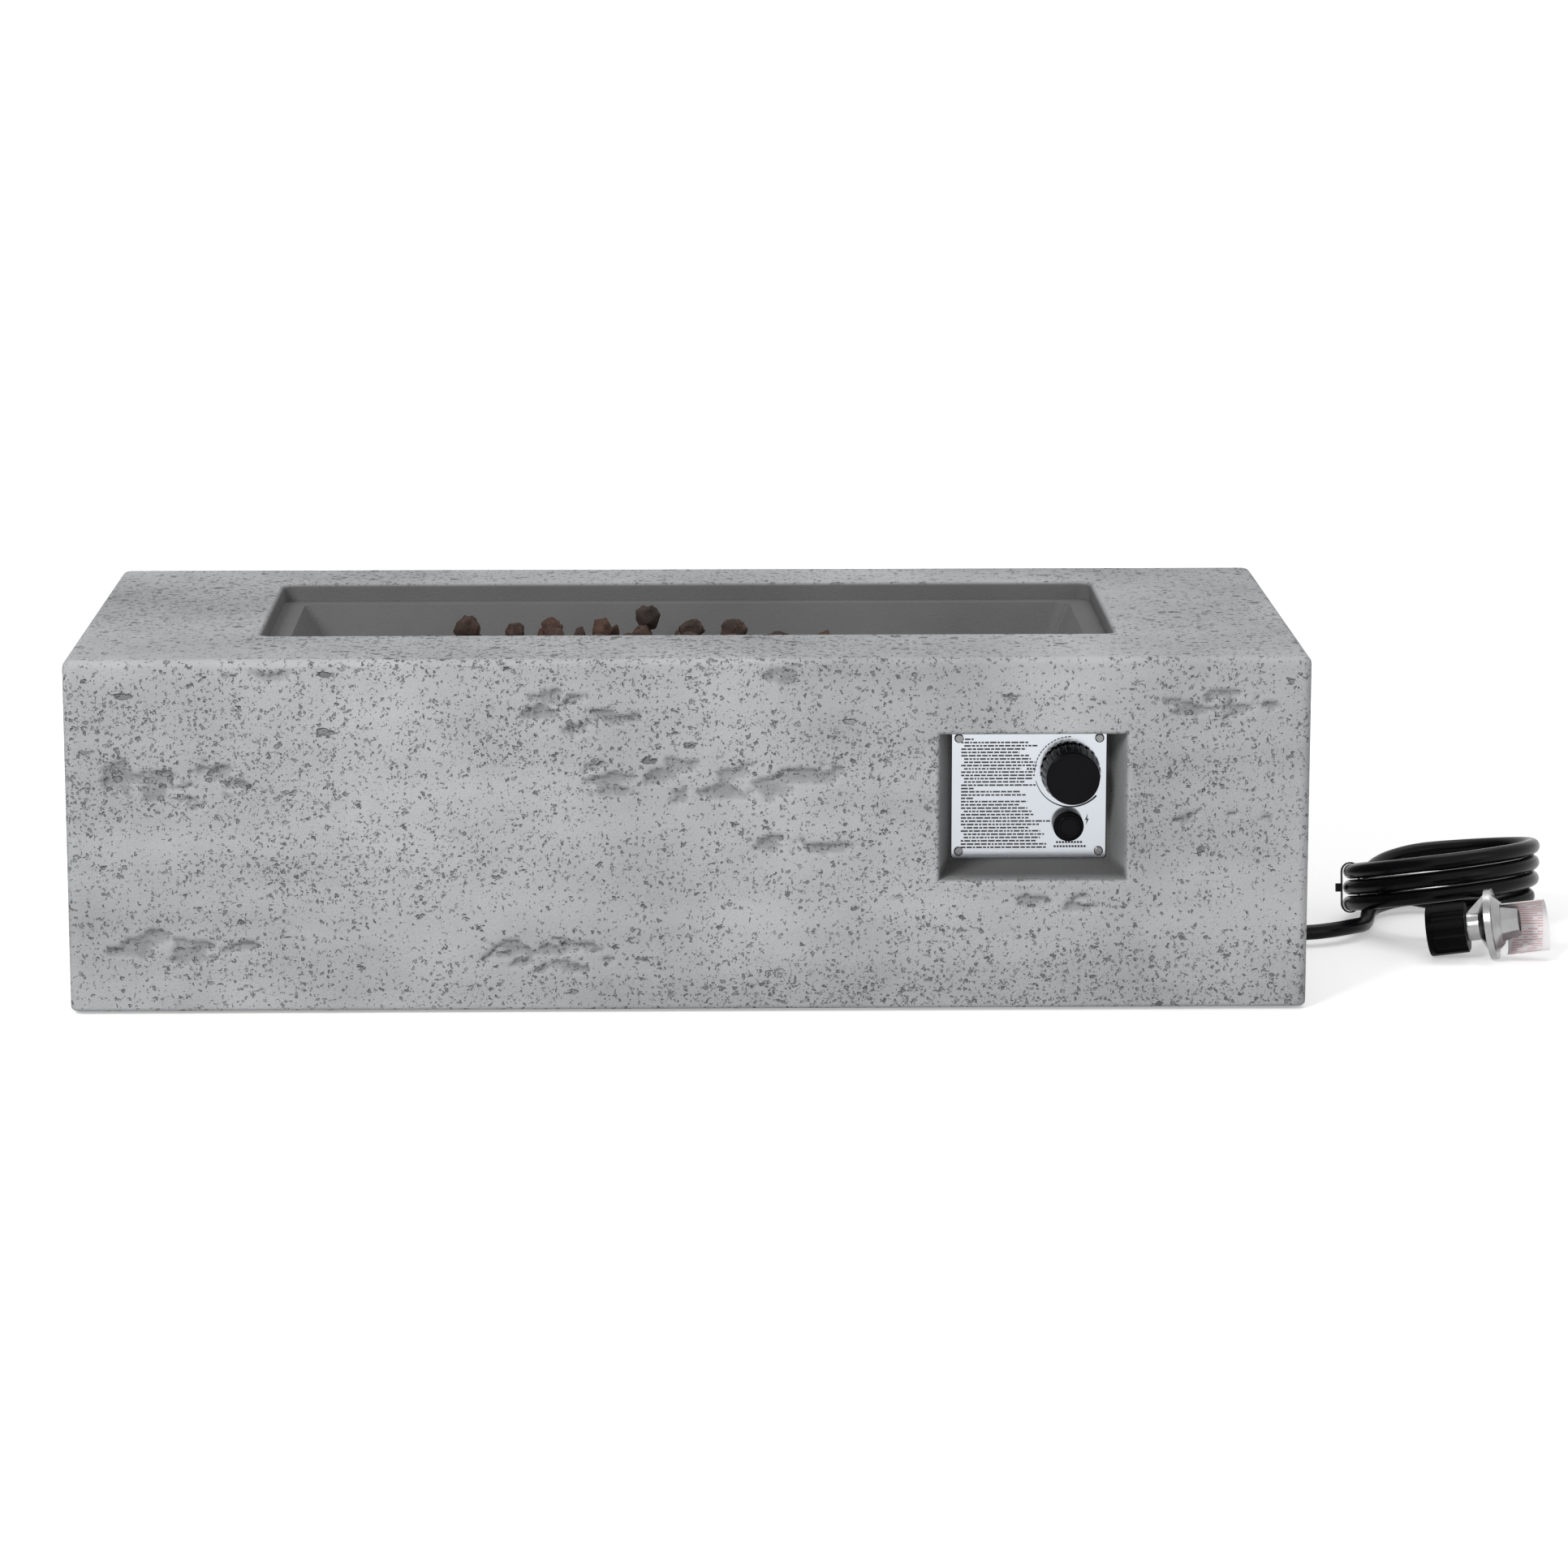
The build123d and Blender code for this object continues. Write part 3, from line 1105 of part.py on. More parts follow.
def make_all():
    parts = {f"foot_{name}": make_foot(place) for name, place in foot_places().items()}
    parts["concrete_body"], parts["trough_basin"], parts["control_niche"] = make_castings()
    parts["control_panel"] = make_panel()
    parts["panel_screws"] = make_panel_screws()
    parts["valve_screws"] = make_valve_screws()
    parts["control_knob"] = make_knob()
    parts["valve_stem"] = make_stem()
    parts["stem_spring"] = make_stem_spring()
    parts["valve_bonnet"] = make_bonnet()
    parts["valve_plug"] = make_plug()
    parts["valve_body"] = make_valve_body()
    parts["magnet_unit"] = make_magnet_unit()
    parts["inlet_fitting"] = make_inlet_fitting()
    parts["outlet_fitting"] = make_outlet_fitting()
    parts["igniter_housing"] = make_igniter_housing()
    parts["igniter_nut"] = make_igniter_nut()
    parts["igniter_button"] = make_igniter_button()
    parts["igniter_spring"] = make_igniter_spring()
    parts["igniter_battery"] = make_battery()
    parts["igniter_lead"] = make_igniter_lead()
    parts["burner_tray"] = make_tray()
    parts["burner_tube"] = make_burner_tube()
    parts["burner_saddles"] = make_saddles()
    parts["mixer_tube"] = make_mixer()
    parts["mixer_nut"] = make_mixer_nut()
    parts["gas_injector"] = make_injector()
    parts["supply_tube"] = make_supply_tube()
    parts["sensor_bracket"] = make_sensor_bracket()
    parts["electrode_ceramic"] = make_ceramic()
    parts["electrode_rod"] = make_electrode()
    parts["thermocouple"] = make_thermocouple()
    parts["thermocouple_lead"] = make_thermocouple_lead()
    parts["lava_rocks"] = make_lava()
    parts["hose_inner"] = make_inner_hose()
    parts["hose_grommet"] = make_grommet()
    parts["hose_lead"] = make_hose_lead()
    parts["hose_coil"] = make_hose_coil()
    parts["hose_tie"] = make_hose_tie()
    parts["hose_ferrule"] = make_ferrule()
    parts["outlet_barb"] = make_outlet_barb()
    parts["regulator_body"] = make_regulator_body()
    parts["regulator_diaphragm"] = make_diaphragm()
    parts["regulator_bonnet"] = make_regulator_bonnet()
    parts["regulator_cap"] = make_regulator_cap()
    parts["inlet_nipple"] = make_nipple()
    parts["coupling_nut"] = make_coupling_nut()
    parts["paper_tag"] = make_tag()
    return parts


os.makedirs("parts", exist_ok=True)
for name, shape in make_all().items():
    export_step(shape, f"parts/{name}.step")
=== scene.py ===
"""Cast fire pit with a tube burner, a recessed control plate and a coiled gas hose."""

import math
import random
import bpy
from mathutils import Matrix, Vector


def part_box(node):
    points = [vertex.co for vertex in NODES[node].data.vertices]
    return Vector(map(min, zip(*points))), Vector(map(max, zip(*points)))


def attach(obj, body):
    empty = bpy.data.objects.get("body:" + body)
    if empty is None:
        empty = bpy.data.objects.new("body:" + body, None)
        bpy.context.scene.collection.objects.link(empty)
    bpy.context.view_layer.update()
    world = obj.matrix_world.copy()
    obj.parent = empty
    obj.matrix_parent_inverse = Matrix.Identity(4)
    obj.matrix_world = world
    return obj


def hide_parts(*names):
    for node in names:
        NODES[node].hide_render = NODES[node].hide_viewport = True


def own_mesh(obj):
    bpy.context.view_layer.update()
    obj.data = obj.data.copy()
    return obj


bl_info = {
    "name": "Cast Fire Pit",
    "version": (1, 0, 0),
    "blender": (4, 5, 0),
    "location": "3D View > Sidebar > Fire Pit",
    "description": "Finishes a cast gas fire pit and makes its hose, rocks, marks and stage",
    "category": "Object",
}

import bmesh
import bpy
from bpy.props import FloatProperty, FloatVectorProperty, IntProperty, PointerProperty
from mathutils import Matrix, Vector, noise

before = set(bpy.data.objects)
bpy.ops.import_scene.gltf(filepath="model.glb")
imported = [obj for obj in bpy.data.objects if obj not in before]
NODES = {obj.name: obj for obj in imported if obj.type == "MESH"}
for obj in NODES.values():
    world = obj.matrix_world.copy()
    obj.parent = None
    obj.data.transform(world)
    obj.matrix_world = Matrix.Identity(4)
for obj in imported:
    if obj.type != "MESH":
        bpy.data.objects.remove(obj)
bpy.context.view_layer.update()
ROOT = "fire_pit"

HOSE_DIAMETER = 0.014
LEAD_POINTS = (
    (0.5335, -0.0060, 0.0120),
    (0.5620, -0.0060, 0.0120),
    (0.5885, 0.0025, 0.0130),
    (0.6115, 0.0220, 0.0124),
    (0.6241, 0.0494, 0.0078),
)
TAIL_POINTS = (
    (0.7765, 0.0600, 0.0302),
    (0.7300, 0.0197, 0.0312),
    (0.7243, -0.0036, 0.0302),
    (0.7210, -0.0172, 0.0302),
)
COIL_CENTRE = (0.6975, 0.0840)
COIL_RADIUS = 0.0840
COIL_PITCH = 0.0152
COIL_TURNS = 3
COIL_LOW = 0.0205
COIL_LEAN_RIGHT = 0.10
COIL_LEAN_FRONT = 0.188
COIL_TUCK = 0.005
COIL_STEP = 15
INNER_CENTRE = (0.6865, 0.0800)
INNER_RADIUS = 0.0560
INNER_START = 170
WIDEN_START = -180
WIDEN_ANGLE = 180
CLIMB_END = -270
HOSE_GROUND = 0.0086

# Middle and half size of each gouge on the front, as x, z, half x and half z
GOUGES = (
    (0.019, 0.204, 0.146, 0.020),
    (-0.108, 0.264, 0.064, 0.016),
    (-0.318, 0.300, 0.064, 0.009),
    (0.091, 0.147, 0.056, 0.009),
    (0.327, 0.096, 0.058, 0.009),
    (-0.443, 0.205, 0.083, 0.023),
    (0.084, 0.295, 0.021, 0.012),
    (0.450, 0.170, 0.059, 0.006),
    (0.459, 0.268, 0.056, 0.014),
    (-0.435, 0.060, 0.066, 0.016),
    (-0.132, 0.053, 0.070, 0.018),
)

GOUGE_CLEAR = 0.006
GOUGE_EDGE = (0.6, 1.3)
BAND_ALONG = 4.0
BAND_UP = 17.0
BAND_SHIFT = 5.0
BAND_EDGE = (0.12, 0.42)
RAGGED_ALONG = 36.0
RAGGED_UP = 80.0
RECESS_MARGIN_X = 0.016
RECESS_MARGIN_Z = 0.010
# Each side's outward direction and the spacing of its grid
SIDES = (
    (Vector((0.0, -1.0, 0.0)), 0.0026),
    (Vector((0.0, 1.0, 0.0)), 0.006),
    (Vector((-1.0, 0.0, 0.0)), 0.006),
    (Vector((1.0, 0.0, 0.0)), 0.006),
)
MERGE_DISTANCE = 0.00002
DISSOLVE_DEGREES = 0.3
SHARP_DEGREES = 28.0
FLAT_NORMAL = 0.99
FLAT_DISTANCE = 0.00005
SLICE_DISTANCE = 0.00001
UP = Vector((0.0, 0.0, 1.0))

TROUGH_HALF = (0.3745, 0.1455, 0.0975)
TROUGH_BELOW_TOP = 0.1
RECESS_HALF = (0.079, 0.0575, 0.062)
INSIDE_EDGE = 0.003
MOUTH_DEPTH = 0.062
MOUTH_SHARE = 0.6

PRINT_LEFT = 0.2365
PRINT_TOP = 0.2285
PRINT_PITCH = 0.0029
PRINT_ROWS = 34
PRINT_BAR = 0.0014
PRINT_WORD = (0.0016, 0.0064)
PRINT_GAP = 0.00085
PRINT_INDENT = 0.0025
PRINT_HEADING = 0.011
PRINT_HEADINGS = (0, 15, 18)
PRINT_STEP = 0.165
PRINT_REACH_HIGH = (0.285, 0.303)
PRINT_REACH_LOW = (0.295, 0.316)
# Left end, right end and height of each short label
LABELS = ((0.2935, 0.3005, 0.2022), (0.3195, 0.3415, 0.1372), (0.3175, 0.3450, 0.1335))
LABEL_BAR = 0.0019
LABEL_PITCH = 0.0026
LABEL_HEIGHT = 0.0018
SPARK_PLACE = (0.3462, 0.1574)
SPARK_OUTLINE = (
    (0.0009, 0.0054),
    (-0.0017, -0.0006),
    (-0.0002, -0.0006),
    (-0.0009, -0.0054),
    (0.0017, 0.0006),
    (0.0002, 0.0006),
)
KNOB_AXIS = (0.3315, 0.1995)
DIAL_RADIUS = 0.031
DIAL_DASHES = (92, 178, 6)
DASH_SIZE = (0.0024, 0.0009)
DIAL_SWELL = (196, 318, 2)
SWELL_LENGTH = 0.0014
SWELL_THIN = 0.0006
SWELL_GROWTH = 0.0010

PUSHES = (("stem_spring", "knob_push"), ("igniter_spring", "igniter_push"))

ROCK_LUMPS = 120.0
ROCK_BUBBLES = 420.0

REGULATOR_PLACE = (0.723, -0.062, 0.0325)
REGULATOR_TURN = (0.0, -0.05, -0.2443)
TAG_ROWS = 9.5
TAG_WORDS = 230.0
TAG_PRINT = (0.016, 0.044)

CAMERA_PLACE = (-0.0044, -4.654, 1.066)
CAMERA_YAW = 0.01954
CAMERA_PITCH = 0.19405
CAMERA_FOCAL_PIXELS = 6453.4
PHOTO_PIXELS = 1932
SENSOR_WIDTH = 36.0

# Name, place, target, size and power of each lamp
LAMPS = (
    ("key_lamp", (-1.7, -2.9, 2.2), (0.0, 0.0, 0.2), 1.2, 94.0),
    ("fill_lamp", (2.6, -2.8, 0.9), (0.2, 0.0, 0.15), 1.8, 13.0),
    ("top_lamp", (0.8, 0.9, 2.6), (0.0, 0.0, 0.3), 1.6, 20.0),
)
WORLD_LIGHT = 0.34
FLOOR_HALF = 60.0
# Distance and glow where the floor begins and ends its change to plain white
FLOOR_GLOW = ((0.9, 0.4), (3.2, 1.0))


class FirePitColours(bpy.types.PropertyGroup):
    """Colours of the finishes that a user would change."""

    casting: FloatVectorProperty(
        name="Casting",
        description="Dry cement skin of the casting",
        subtype="COLOR",
        size=4,
        min=0.0,
        max=1.0,
        default=(0.43, 0.435, 0.445, 1.0),
    )
    # Darker inside colour: partly the smoother cement of the trough and the recess, and partly
    # painted shade in them.
    casting_inside: FloatVectorProperty(
        name="Casting inside",
        description="Smooth cement in the trough and in the control recess",
        subtype="COLOR",
        size=4,
        min=0.0,
        max=1.0,
        default=(0.17, 0.17, 0.17, 1.0),
    )
    rock: FloatVectorProperty(
        name="Lava rock",
        description="Rust-brown body of the lava rocks",
        subtype="COLOR",
        size=4,
        min=0.0,
        max=1.0,
        default=(0.088, 0.050, 0.038, 1.0),
    )
    rubber: FloatVectorProperty(
        name="Hose rubber",
        description="Skin of the gas hose",
        subtype="COLOR",
        size=4,
        min=0.0,
        max=1.0,
        default=(0.0045, 0.0046, 0.0055, 1.0),
    )
    plate: FloatVectorProperty(
        name="Control plate",
        description="Bright stainless sheet of the control plate",
        subtype="COLOR",
        size=4,
        min=0.0,
        max=1.0,
        default=(0.50, 0.525, 0.56, 1.0),
    )
    rule_ink: FloatVectorProperty(
        name="Tag ink",
        description="Ink of the plain rules on the paper tag",
        subtype="COLOR",
        size=4,
        min=0.0,
        max=1.0,
        default=(0.55, 0.03, 0.04, 1.0),
    )


class FirePitSizes(bpy.types.PropertyGroup):
    """Sizes of the details that a user would change."""

    pock_depth: FloatProperty(
        name="Pock depth",
        description="Depth of the pocks in the casting",
        subtype="DISTANCE",
        min=0.0,
        max=0.01,
        default=0.0032,
    )
    rock_roughness: FloatProperty(
        name="Rock roughness",
        description="Depth of the hollows on the lava rocks",
        subtype="DISTANCE",
        min=0.0,
        max=0.004,
        default=0.0018,
    )
    ink_height: FloatProperty(
        name="Ink height",
        description="Height of the printed marks over the control plate",
        subtype="DISTANCE",
        min=0.00002,
        max=0.0005,
        default=0.00012,
    )
    gouge_depth: FloatProperty(
        name="Gouge depth",
        description="Depth of the ragged hollows in the casting's sides",
        subtype="DISTANCE",
        min=0.0,
        max=0.01,
        default=0.0055,
    )
    seed: IntProperty(
        name="Seed",
        description="Start of every random choice",
        min=0,
        default=7,
    )


class FirePitSettings(bpy.types.PropertyGroup):
    """All settings of the fire pit."""

    colours: PointerProperty(type=FirePitColours)
    sizes: PointerProperty(type=FirePitSizes)


def settings():
    return bpy.context.scene.fire_pit


def fill_inputs(tree, node, inputs):
    """Links each named input to a socket, or gives it a plain value."""
    for name, value in inputs.items():
        if isinstance(value, bpy.types.NodeSocket):
            tree.links.new(value, node.inputs[name])
        else:
            node.inputs[name].default_value = value


def add_node(tree, kind, inputs=None, **options):
    """Adds a shader node, sets its options and fills or links its inputs."""
    node = tree.nodes.new("ShaderNode" + kind)
    for name, value in options.items():
        setattr(node, name, value)
    fill_inputs(tree, node, inputs or {})
    return node


def calculate(tree, operation, first, second=0.0):
    """Output of a Math node."""
    return add_node(tree, "Math", {0: first, 1: second}, operation=operation).outputs[0]


def product(tree, first, second):
    return calculate(tree, "MULTIPLY", first, second)


def tinted(colour, factor=1.0):
    """Opaque colour with its channels scaled, up to white at most."""
    return tuple(min(c * factor, 1.0) for c in colour[:3]) + (1.0,)


def remap(tree, value, low, high, start=0.0, end=1.0, smooth=False):
    """Output of a clamped Map Range node."""
    inputs = {"Value": value, "From Min": low, "From Max": high, "To Min": start, "To Max": end}
    kind = "SMOOTHSTEP" if smooth else "LINEAR"
    return add_node(tree, "MapRange", inputs, interpolation_type=kind, clamp=True).outputs["Result"]


def blend_colours(tree, share, first, second):
    """Colour output of a Mix node."""
    mix = add_node(tree, "Mix", data_type="RGBA")
    fill_inputs(tree, mix, {0: share, 6: first, 7: second})
    return mix.outputs[2]


def vector_math(tree, operation, first, second):
    """Vector output of a Vector Math node."""
    return add_node(tree, "VectorMath", {0: first, 1: second}, operation=operation).outputs[0]


def scaled(tree, vector, scale):
    """Coordinates stretched along each axis."""
    return add_node(tree, "Mapping", {"Vector": vector, "Scale": scale}).outputs["Vector"]


def noise_value(tree, vector, scale, detail=2.0, roughness=0.5):
    """Factor output of a noise texture."""
    inputs = {"Vector": vector, "Scale": scale, "Detail": detail, "Roughness": roughness}
    return add_node(tree, "TexNoise", inputs).outputs["Fac"]


def start_group(name, inputs, outputs):
    """New shader node group with its sockets; returns the tree and its two ends."""
    tree = bpy.data.node_groups.new(name, "ShaderNodeTree")
    for socket, kind in inputs:
        tree.interface.new_socket(name=socket, in_out="INPUT", socket_type="NodeSocket" + kind)
    for socket, kind in outputs:
        tree.interface.new_socket(name=socket, in_out="OUTPUT", socket_type="NodeSocket" + kind)
    return tree, tree.nodes.new("NodeGroupInput").outputs, tree.nodes.new("NodeGroupOutput").inputs


def place_group(tree, name, inputs):
    """Places a finished node group in a material."""
    node = tree.nodes.new("ShaderNodeGroup")
    node.node_tree = bpy.data.node_groups[name]
    fill_inputs(tree, node, inputs)
    return node.outputs


def make_pock_group():
    """Scattered pits: one per cell at most, each with its own size; Mask darkens each pit by a
    random share as painted shade, and Height gives its depth.
    """
    tree, given, result = start_group(
        "Pocks",
        (("Vector", "Vector"), ("Cells", "Float"), ("Share", "Float"), ("Size", "Float")),
        (("Mask", "Float"), ("Height", "Float")),
    )
    wander = add_node(tree, "TexNoise", {"Vector": given["Vector"], "Scale": 320.0, "Detail": 1.0})
    offset = vector_math(tree, "SUBTRACT", wander.outputs["Color"], (0.5, 0.5, 0.5))
    offset = add_node(tree, "VectorMath", {0: offset, "Scale": 0.0070}, operation="SCALE")
    bent = vector_math(tree, "ADD", given["Vector"], offset.outputs[0])
    cells = add_node(tree, "TexVoronoi", {"Vector": bent, "Scale": given["Cells"]})
    chance = add_node(tree, "SeparateColor", {"Color": cells.outputs["Color"]}).outputs
    kept = calculate(tree, "LESS_THAN", chance["Red"], given["Share"])
    spread = remap(tree, chance["Green"], 0.0, 1.0, 0.35, 1.0)
    radius = product(tree, spread, given["Size"])
    inner = product(tree, radius, 0.58)
    bowl = remap(tree, cells.outputs["Distance"], radius, inner, smooth=True)
    pit = product(tree, bowl, kept)
    shade = remap(tree, chance["Blue"], 0.0, 1.0, 0.3, 1.0)
    tree.links.new(product(tree, pit, shade), result["Mask"])
    tree.links.new(product(tree, pit, spread), result["Height"])


def make_mottle_group():
    """Soft clouds and fine grain, both round a middle of one half."""
    tree, given, result = start_group(
        "Mottle",
        (("Vector", "Vector"), ("Clouds", "Float"), ("Grain", "Float")),
        (("Cloud", "Float"), ("Grain", "Float")),
    )
    cloud = noise_value(tree, given["Vector"], given["Clouds"], 4.0, 0.55)
    grain = noise_value(tree, given["Vector"], given["Grain"], 3.0, 0.65)
    tree.links.new(remap(tree, cloud, 0.25, 0.75), result["Cloud"])
    tree.links.new(remap(tree, grain, 0.25, 0.75), result["Grain"])


def make_brushing_group():
    """Long fine scratches along one direction."""
    tree, given, result = start_group(
        "Brushing",
        (("Vector", "Vector"), ("Along", "Vector")),
        (("Value", "Float"),),
    )
    stretched = vector_math(tree, "MULTIPLY", given["Vector"], given["Along"])
    coarse = noise_value(tree, stretched, 1.0, 3.0, 0.6)
    fine = noise_value(tree, stretched, 3.3, 2.0, 0.6)
    both = calculate(tree, "ADD", product(tree, coarse, 0.6), product(tree, fine, 0.4))
    tree.links.new(remap(tree, both, 0.3, 0.7), result["Value"])


def make_box_group():
    """Mask that is one inside a box of given half sizes round the vector's zero."""
    tree, given, result = start_group(
        "Within",
        (("Vector", "Vector"), ("Half", "Vector"), ("Edge", "Float")),
        (("Mask", "Float"),),
    )
    size = add_node(tree, "VectorMath", {0: given["Vector"]}, operation="ABSOLUTE").outputs[0]
    beyond = vector_math(tree, "SUBTRACT", size, given["Half"])
    parts = add_node(tree, "SeparateXYZ", {0: beyond}).outputs
    furthest = calculate(tree, "MAXIMUM", parts["X"], parts["Y"])
    furthest = calculate(tree, "MAXIMUM", furthest, parts["Z"])
    tree.links.new(remap(tree, furthest, given["Edge"], 0.0), result["Mask"])


def start_material(name):
    """New material with its tree, its shader and the object's coordinates."""
    material = bpy.data.materials.new(name)
    material.use_nodes = True
    tree = material.node_tree
    shader = tree.nodes["Principled BSDF"]
    place = tree.nodes.new("ShaderNodeTexCoord").outputs["Object"]
    return material, tree, shader, place


def link_bump(tree, shader, height, distance):
    inputs = {"Height": height, "Distance": distance, "Strength": 1.0}
    tree.links.new(add_node(tree, "Bump", inputs).outputs["Normal"], shader.inputs["Normal"])


def link_skin(tree, shader, colour, roughness):
    tree.links.new(colour, shader.inputs["Base Color"])
    tree.links.new(roughness, shader.inputs["Roughness"])


def middle_of(low, high):
    return (low + high) / 2


def inside_mask(tree, place):
    """Mask of the trough below its rim and of the control recess."""
    recess = middle_of(*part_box("control_panel"))
    trough = middle_of(*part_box("burner_tray"))
    trough.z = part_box("concrete_body")[1].z - TROUGH_BELOW_TOP
    masks = []
    for centre, half in ((trough, TROUGH_HALF), (recess, RECESS_HALF)):
        inputs = {"Vector": place, "Location": (-centre).to_tuple()}
        local = add_node(tree, "Mapping", inputs).outputs["Vector"]
        inputs = {"Vector": local, "Half": half, "Edge": INSIDE_EDGE}
        masks.append(place_group(tree, "Within", inputs)["Mask"])
    return calculate(tree, "MAXIMUM", *masks)


def painted_recess_shading(tree, place):
    """Share of the outer skin colour on the control recess's walls: most at the mouth, fading
    deeper in and none on the floor, as painted shade that darkens the recess with depth.
    """
    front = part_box("concrete_body")[0].y
    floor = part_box("control_panel")[0].z
    parts = add_node(tree, "SeparateXYZ", {0: place}).outputs
    near = remap(tree, parts["Y"], front, front + MOUTH_DEPTH, MOUTH_SHARE, 0.0)
    wall = remap(tree, parts["Z"], floor - 0.001, floor + 0.004)
    return product(tree, near, wall)


def edge_distance(tree, place):
    """Distance from a point on the casting's outside to its nearest edge."""
    low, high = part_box("concrete_body")
    half = ((high - low) / 2).to_tuple()
    local = vector_math(tree, "SUBTRACT", place, middle_of(low, high).to_tuple())
    size = add_node(tree, "VectorMath", {0: local}, operation="ABSOLUTE").outputs[0]
    inward = vector_math(tree, "SUBTRACT", half, size)
    x, y, z = add_node(tree, "SeparateXYZ", {0: inward}).outputs
    nearer = calculate(tree, "MINIMUM", x, y)
    further = calculate(tree, "MAXIMUM", x, y)
    return calculate(tree, "MAXIMUM", nearer, calculate(tree, "MINIMUM", further, z))


def casting_material():
    """Cement cast like travertine: crowded pocks and ragged gouges darkened with painted shade,
    soft clouds, pale edges that are partly wear and partly painted highlight, and a darker inside
    that is partly painted shade.
    """
    colours = settings().colours
    material, tree, shader, place = start_material("cast_cement")
    smooth = inside_mask(tree, place)
    rough = calculate(tree, "SUBTRACT", 1.0, smooth)
    from_edge = edge_distance(tree, place)
    body = remap(tree, from_edge, 0.0005, 0.005)
    layers = noise_value(tree, scaled(tree, place, (2.4, 2.4, 15.0)), 1.0, 3.0, 0.6)
    crowd = product(tree, remap(tree, layers, 0.36, 0.64), body)
    level = scaled(tree, place, (0.72, 0.72, 1.1))
    drawn = scaled(tree, place, (0.5, 0.5, 1.15))
    gouge = add_node(tree, "Attribute", attribute_name="gouge").outputs["Fac"]
    # Painted shade in the torn gouges: deeper gouges are darker.
    pits = remap(tree, gouge, 0.1, 1.0, 0.0, 0.5)
    depth = 0.0
    for vector, cells, few, many, size, weight in (
        (place, 330.0, 0.30, 0.75, 0.50, 0.4),
        (place, 180.0, 0.20, 0.80, 0.50, 0.9),
        (level, 108.0, 0.05, 0.28, 0.42, 1.3),
        (drawn, 58.0, 0.01, 0.10, 0.31, 1.8),
    ):
        share = remap(tree, crowd, 0.0, 1.0, few, many)
        inputs = {"Vector": vector, "Cells": cells, "Share": share, "Size": size}
        pock = place_group(tree, "Pocks", inputs)
        pits = calculate(tree, "MAXIMUM", pits, pock["Mask"])
        depth = calculate(tree, "MAXIMUM", product(tree, pock["Height"], weight), depth)
    mottle = place_group(tree, "Mottle", {"Vector": place, "Clouds": 5.5, "Grain": 520.0})
    pits = product(tree, pits, rough)
    depth = product(tree, depth, remap(tree, rough, 0.0, 1.0, 0.05, 1.0))

    pale = tinted(colours.casting, 1.34)
    dull = tinted(colours.casting, 0.68)
    tone = product(tree, mottle["Cloud"], 0.6)
    tone = calculate(tree, "ADD", tone, product(tree, mottle["Grain"], 0.25))
    tone = calculate(tree, "ADD", tone, remap(tree, layers, 0.36, 0.64, 0.2, 0.0))
    skin = blend_colours(tree, tone, dull, pale)
    # Pale band along the outer edges: partly worn cement and partly a painted highlight on the
    # rounded edges.
    near_edge = remap(tree, from_edge, 0.009, 0.0)
    wear_and_edge_highlight = product(tree, near_edge, remap(tree, mottle["Cloud"], 0.2, 0.8))
    skin = blend_colours(tree, product(tree, wear_and_edge_highlight, 0.3), skin, pale)
    # The trough and the recess take the darker inside colour, partly smoother cement and partly
    # painted shade, with the recess walls lighter towards its mouth as painted shading.
    dim_inside = tinted(colours.casting_inside, 0.72)
    inner = blend_colours(tree, mottle["Cloud"], dim_inside, tinted(colours.casting_inside))
    inner = blend_colours(tree, painted_recess_shading(tree, place), inner, skin)
    skin = blend_colours(tree, smooth, skin, inner)
    # Pits and gouges darken towards this painted shade colour, standing in for the shade inside
    # them.
    hollow_shade = tinted(colours.casting, 0.22)
    skin = blend_colours(tree, product(tree, pits, 0.85), skin, hollow_shade)
    link_skin(tree, shader, skin, remap(tree, mottle["Grain"], 0, 1, 0.78, 0.93))
    shader.inputs["Specular IOR Level"].default_value = 0.25
    height = calculate(tree, "SUBTRACT", product(tree, mottle["Grain"], 0.12), depth)
    link_bump(tree, shader, height, settings().sizes.pock_depth)
    return material


def metal_material(name, colour, roughness, grain, along=(9.0, 900.0, 900.0), stain=0.12):
    """Worked metal with fine scratches, a varied gloss and faint stains."""
    material, tree, shader, place = start_material(name)
    brushing = place_group(tree, "Brushing", {"Vector": place, "Along": along})["Value"]
    mottle = place_group(tree, "Mottle", {"Vector": place, "Clouds": 38.0, "Grain": 900.0})
    clouds = product(tree, mottle["Cloud"], 0.7)
    share = calculate(tree, "ADD", clouds, product(tree, brushing, 0.3))
    skin = blend_colours(tree, share, tinted(colour, 1 - 2 * stain), tinted(colour))
    gloss = remap(tree, brushing, 0, 1, roughness * 0.75, roughness * 1.3)
    link_skin(tree, shader, skin, gloss)
    shader.inputs["Metallic"].default_value = 1.0
    link_bump(tree, shader, brushing, grain)
    return material


def cast_metal_material(name, colour, roughness, grain):
    """Die-cast metal: an orange-peel skin with darker, duller hollows."""
    material, tree, shader, place = start_material(name)
    mottle = place_group(tree, "Mottle", {"Vector": place, "Clouds": 70.0, "Grain": 700.0})
    skin = blend_colours(tree, mottle["Cloud"], tinted(colour, 0.72), tinted(colour))
    gloss = remap(tree, mottle["Cloud"], 0, 1, roughness * 1.3, roughness * 0.8)
    link_skin(tree, shader, skin, gloss)
    shader.inputs["Metallic"].default_value = 1.0
    link_bump(tree, shader, mottle["Grain"], grain)
    return material


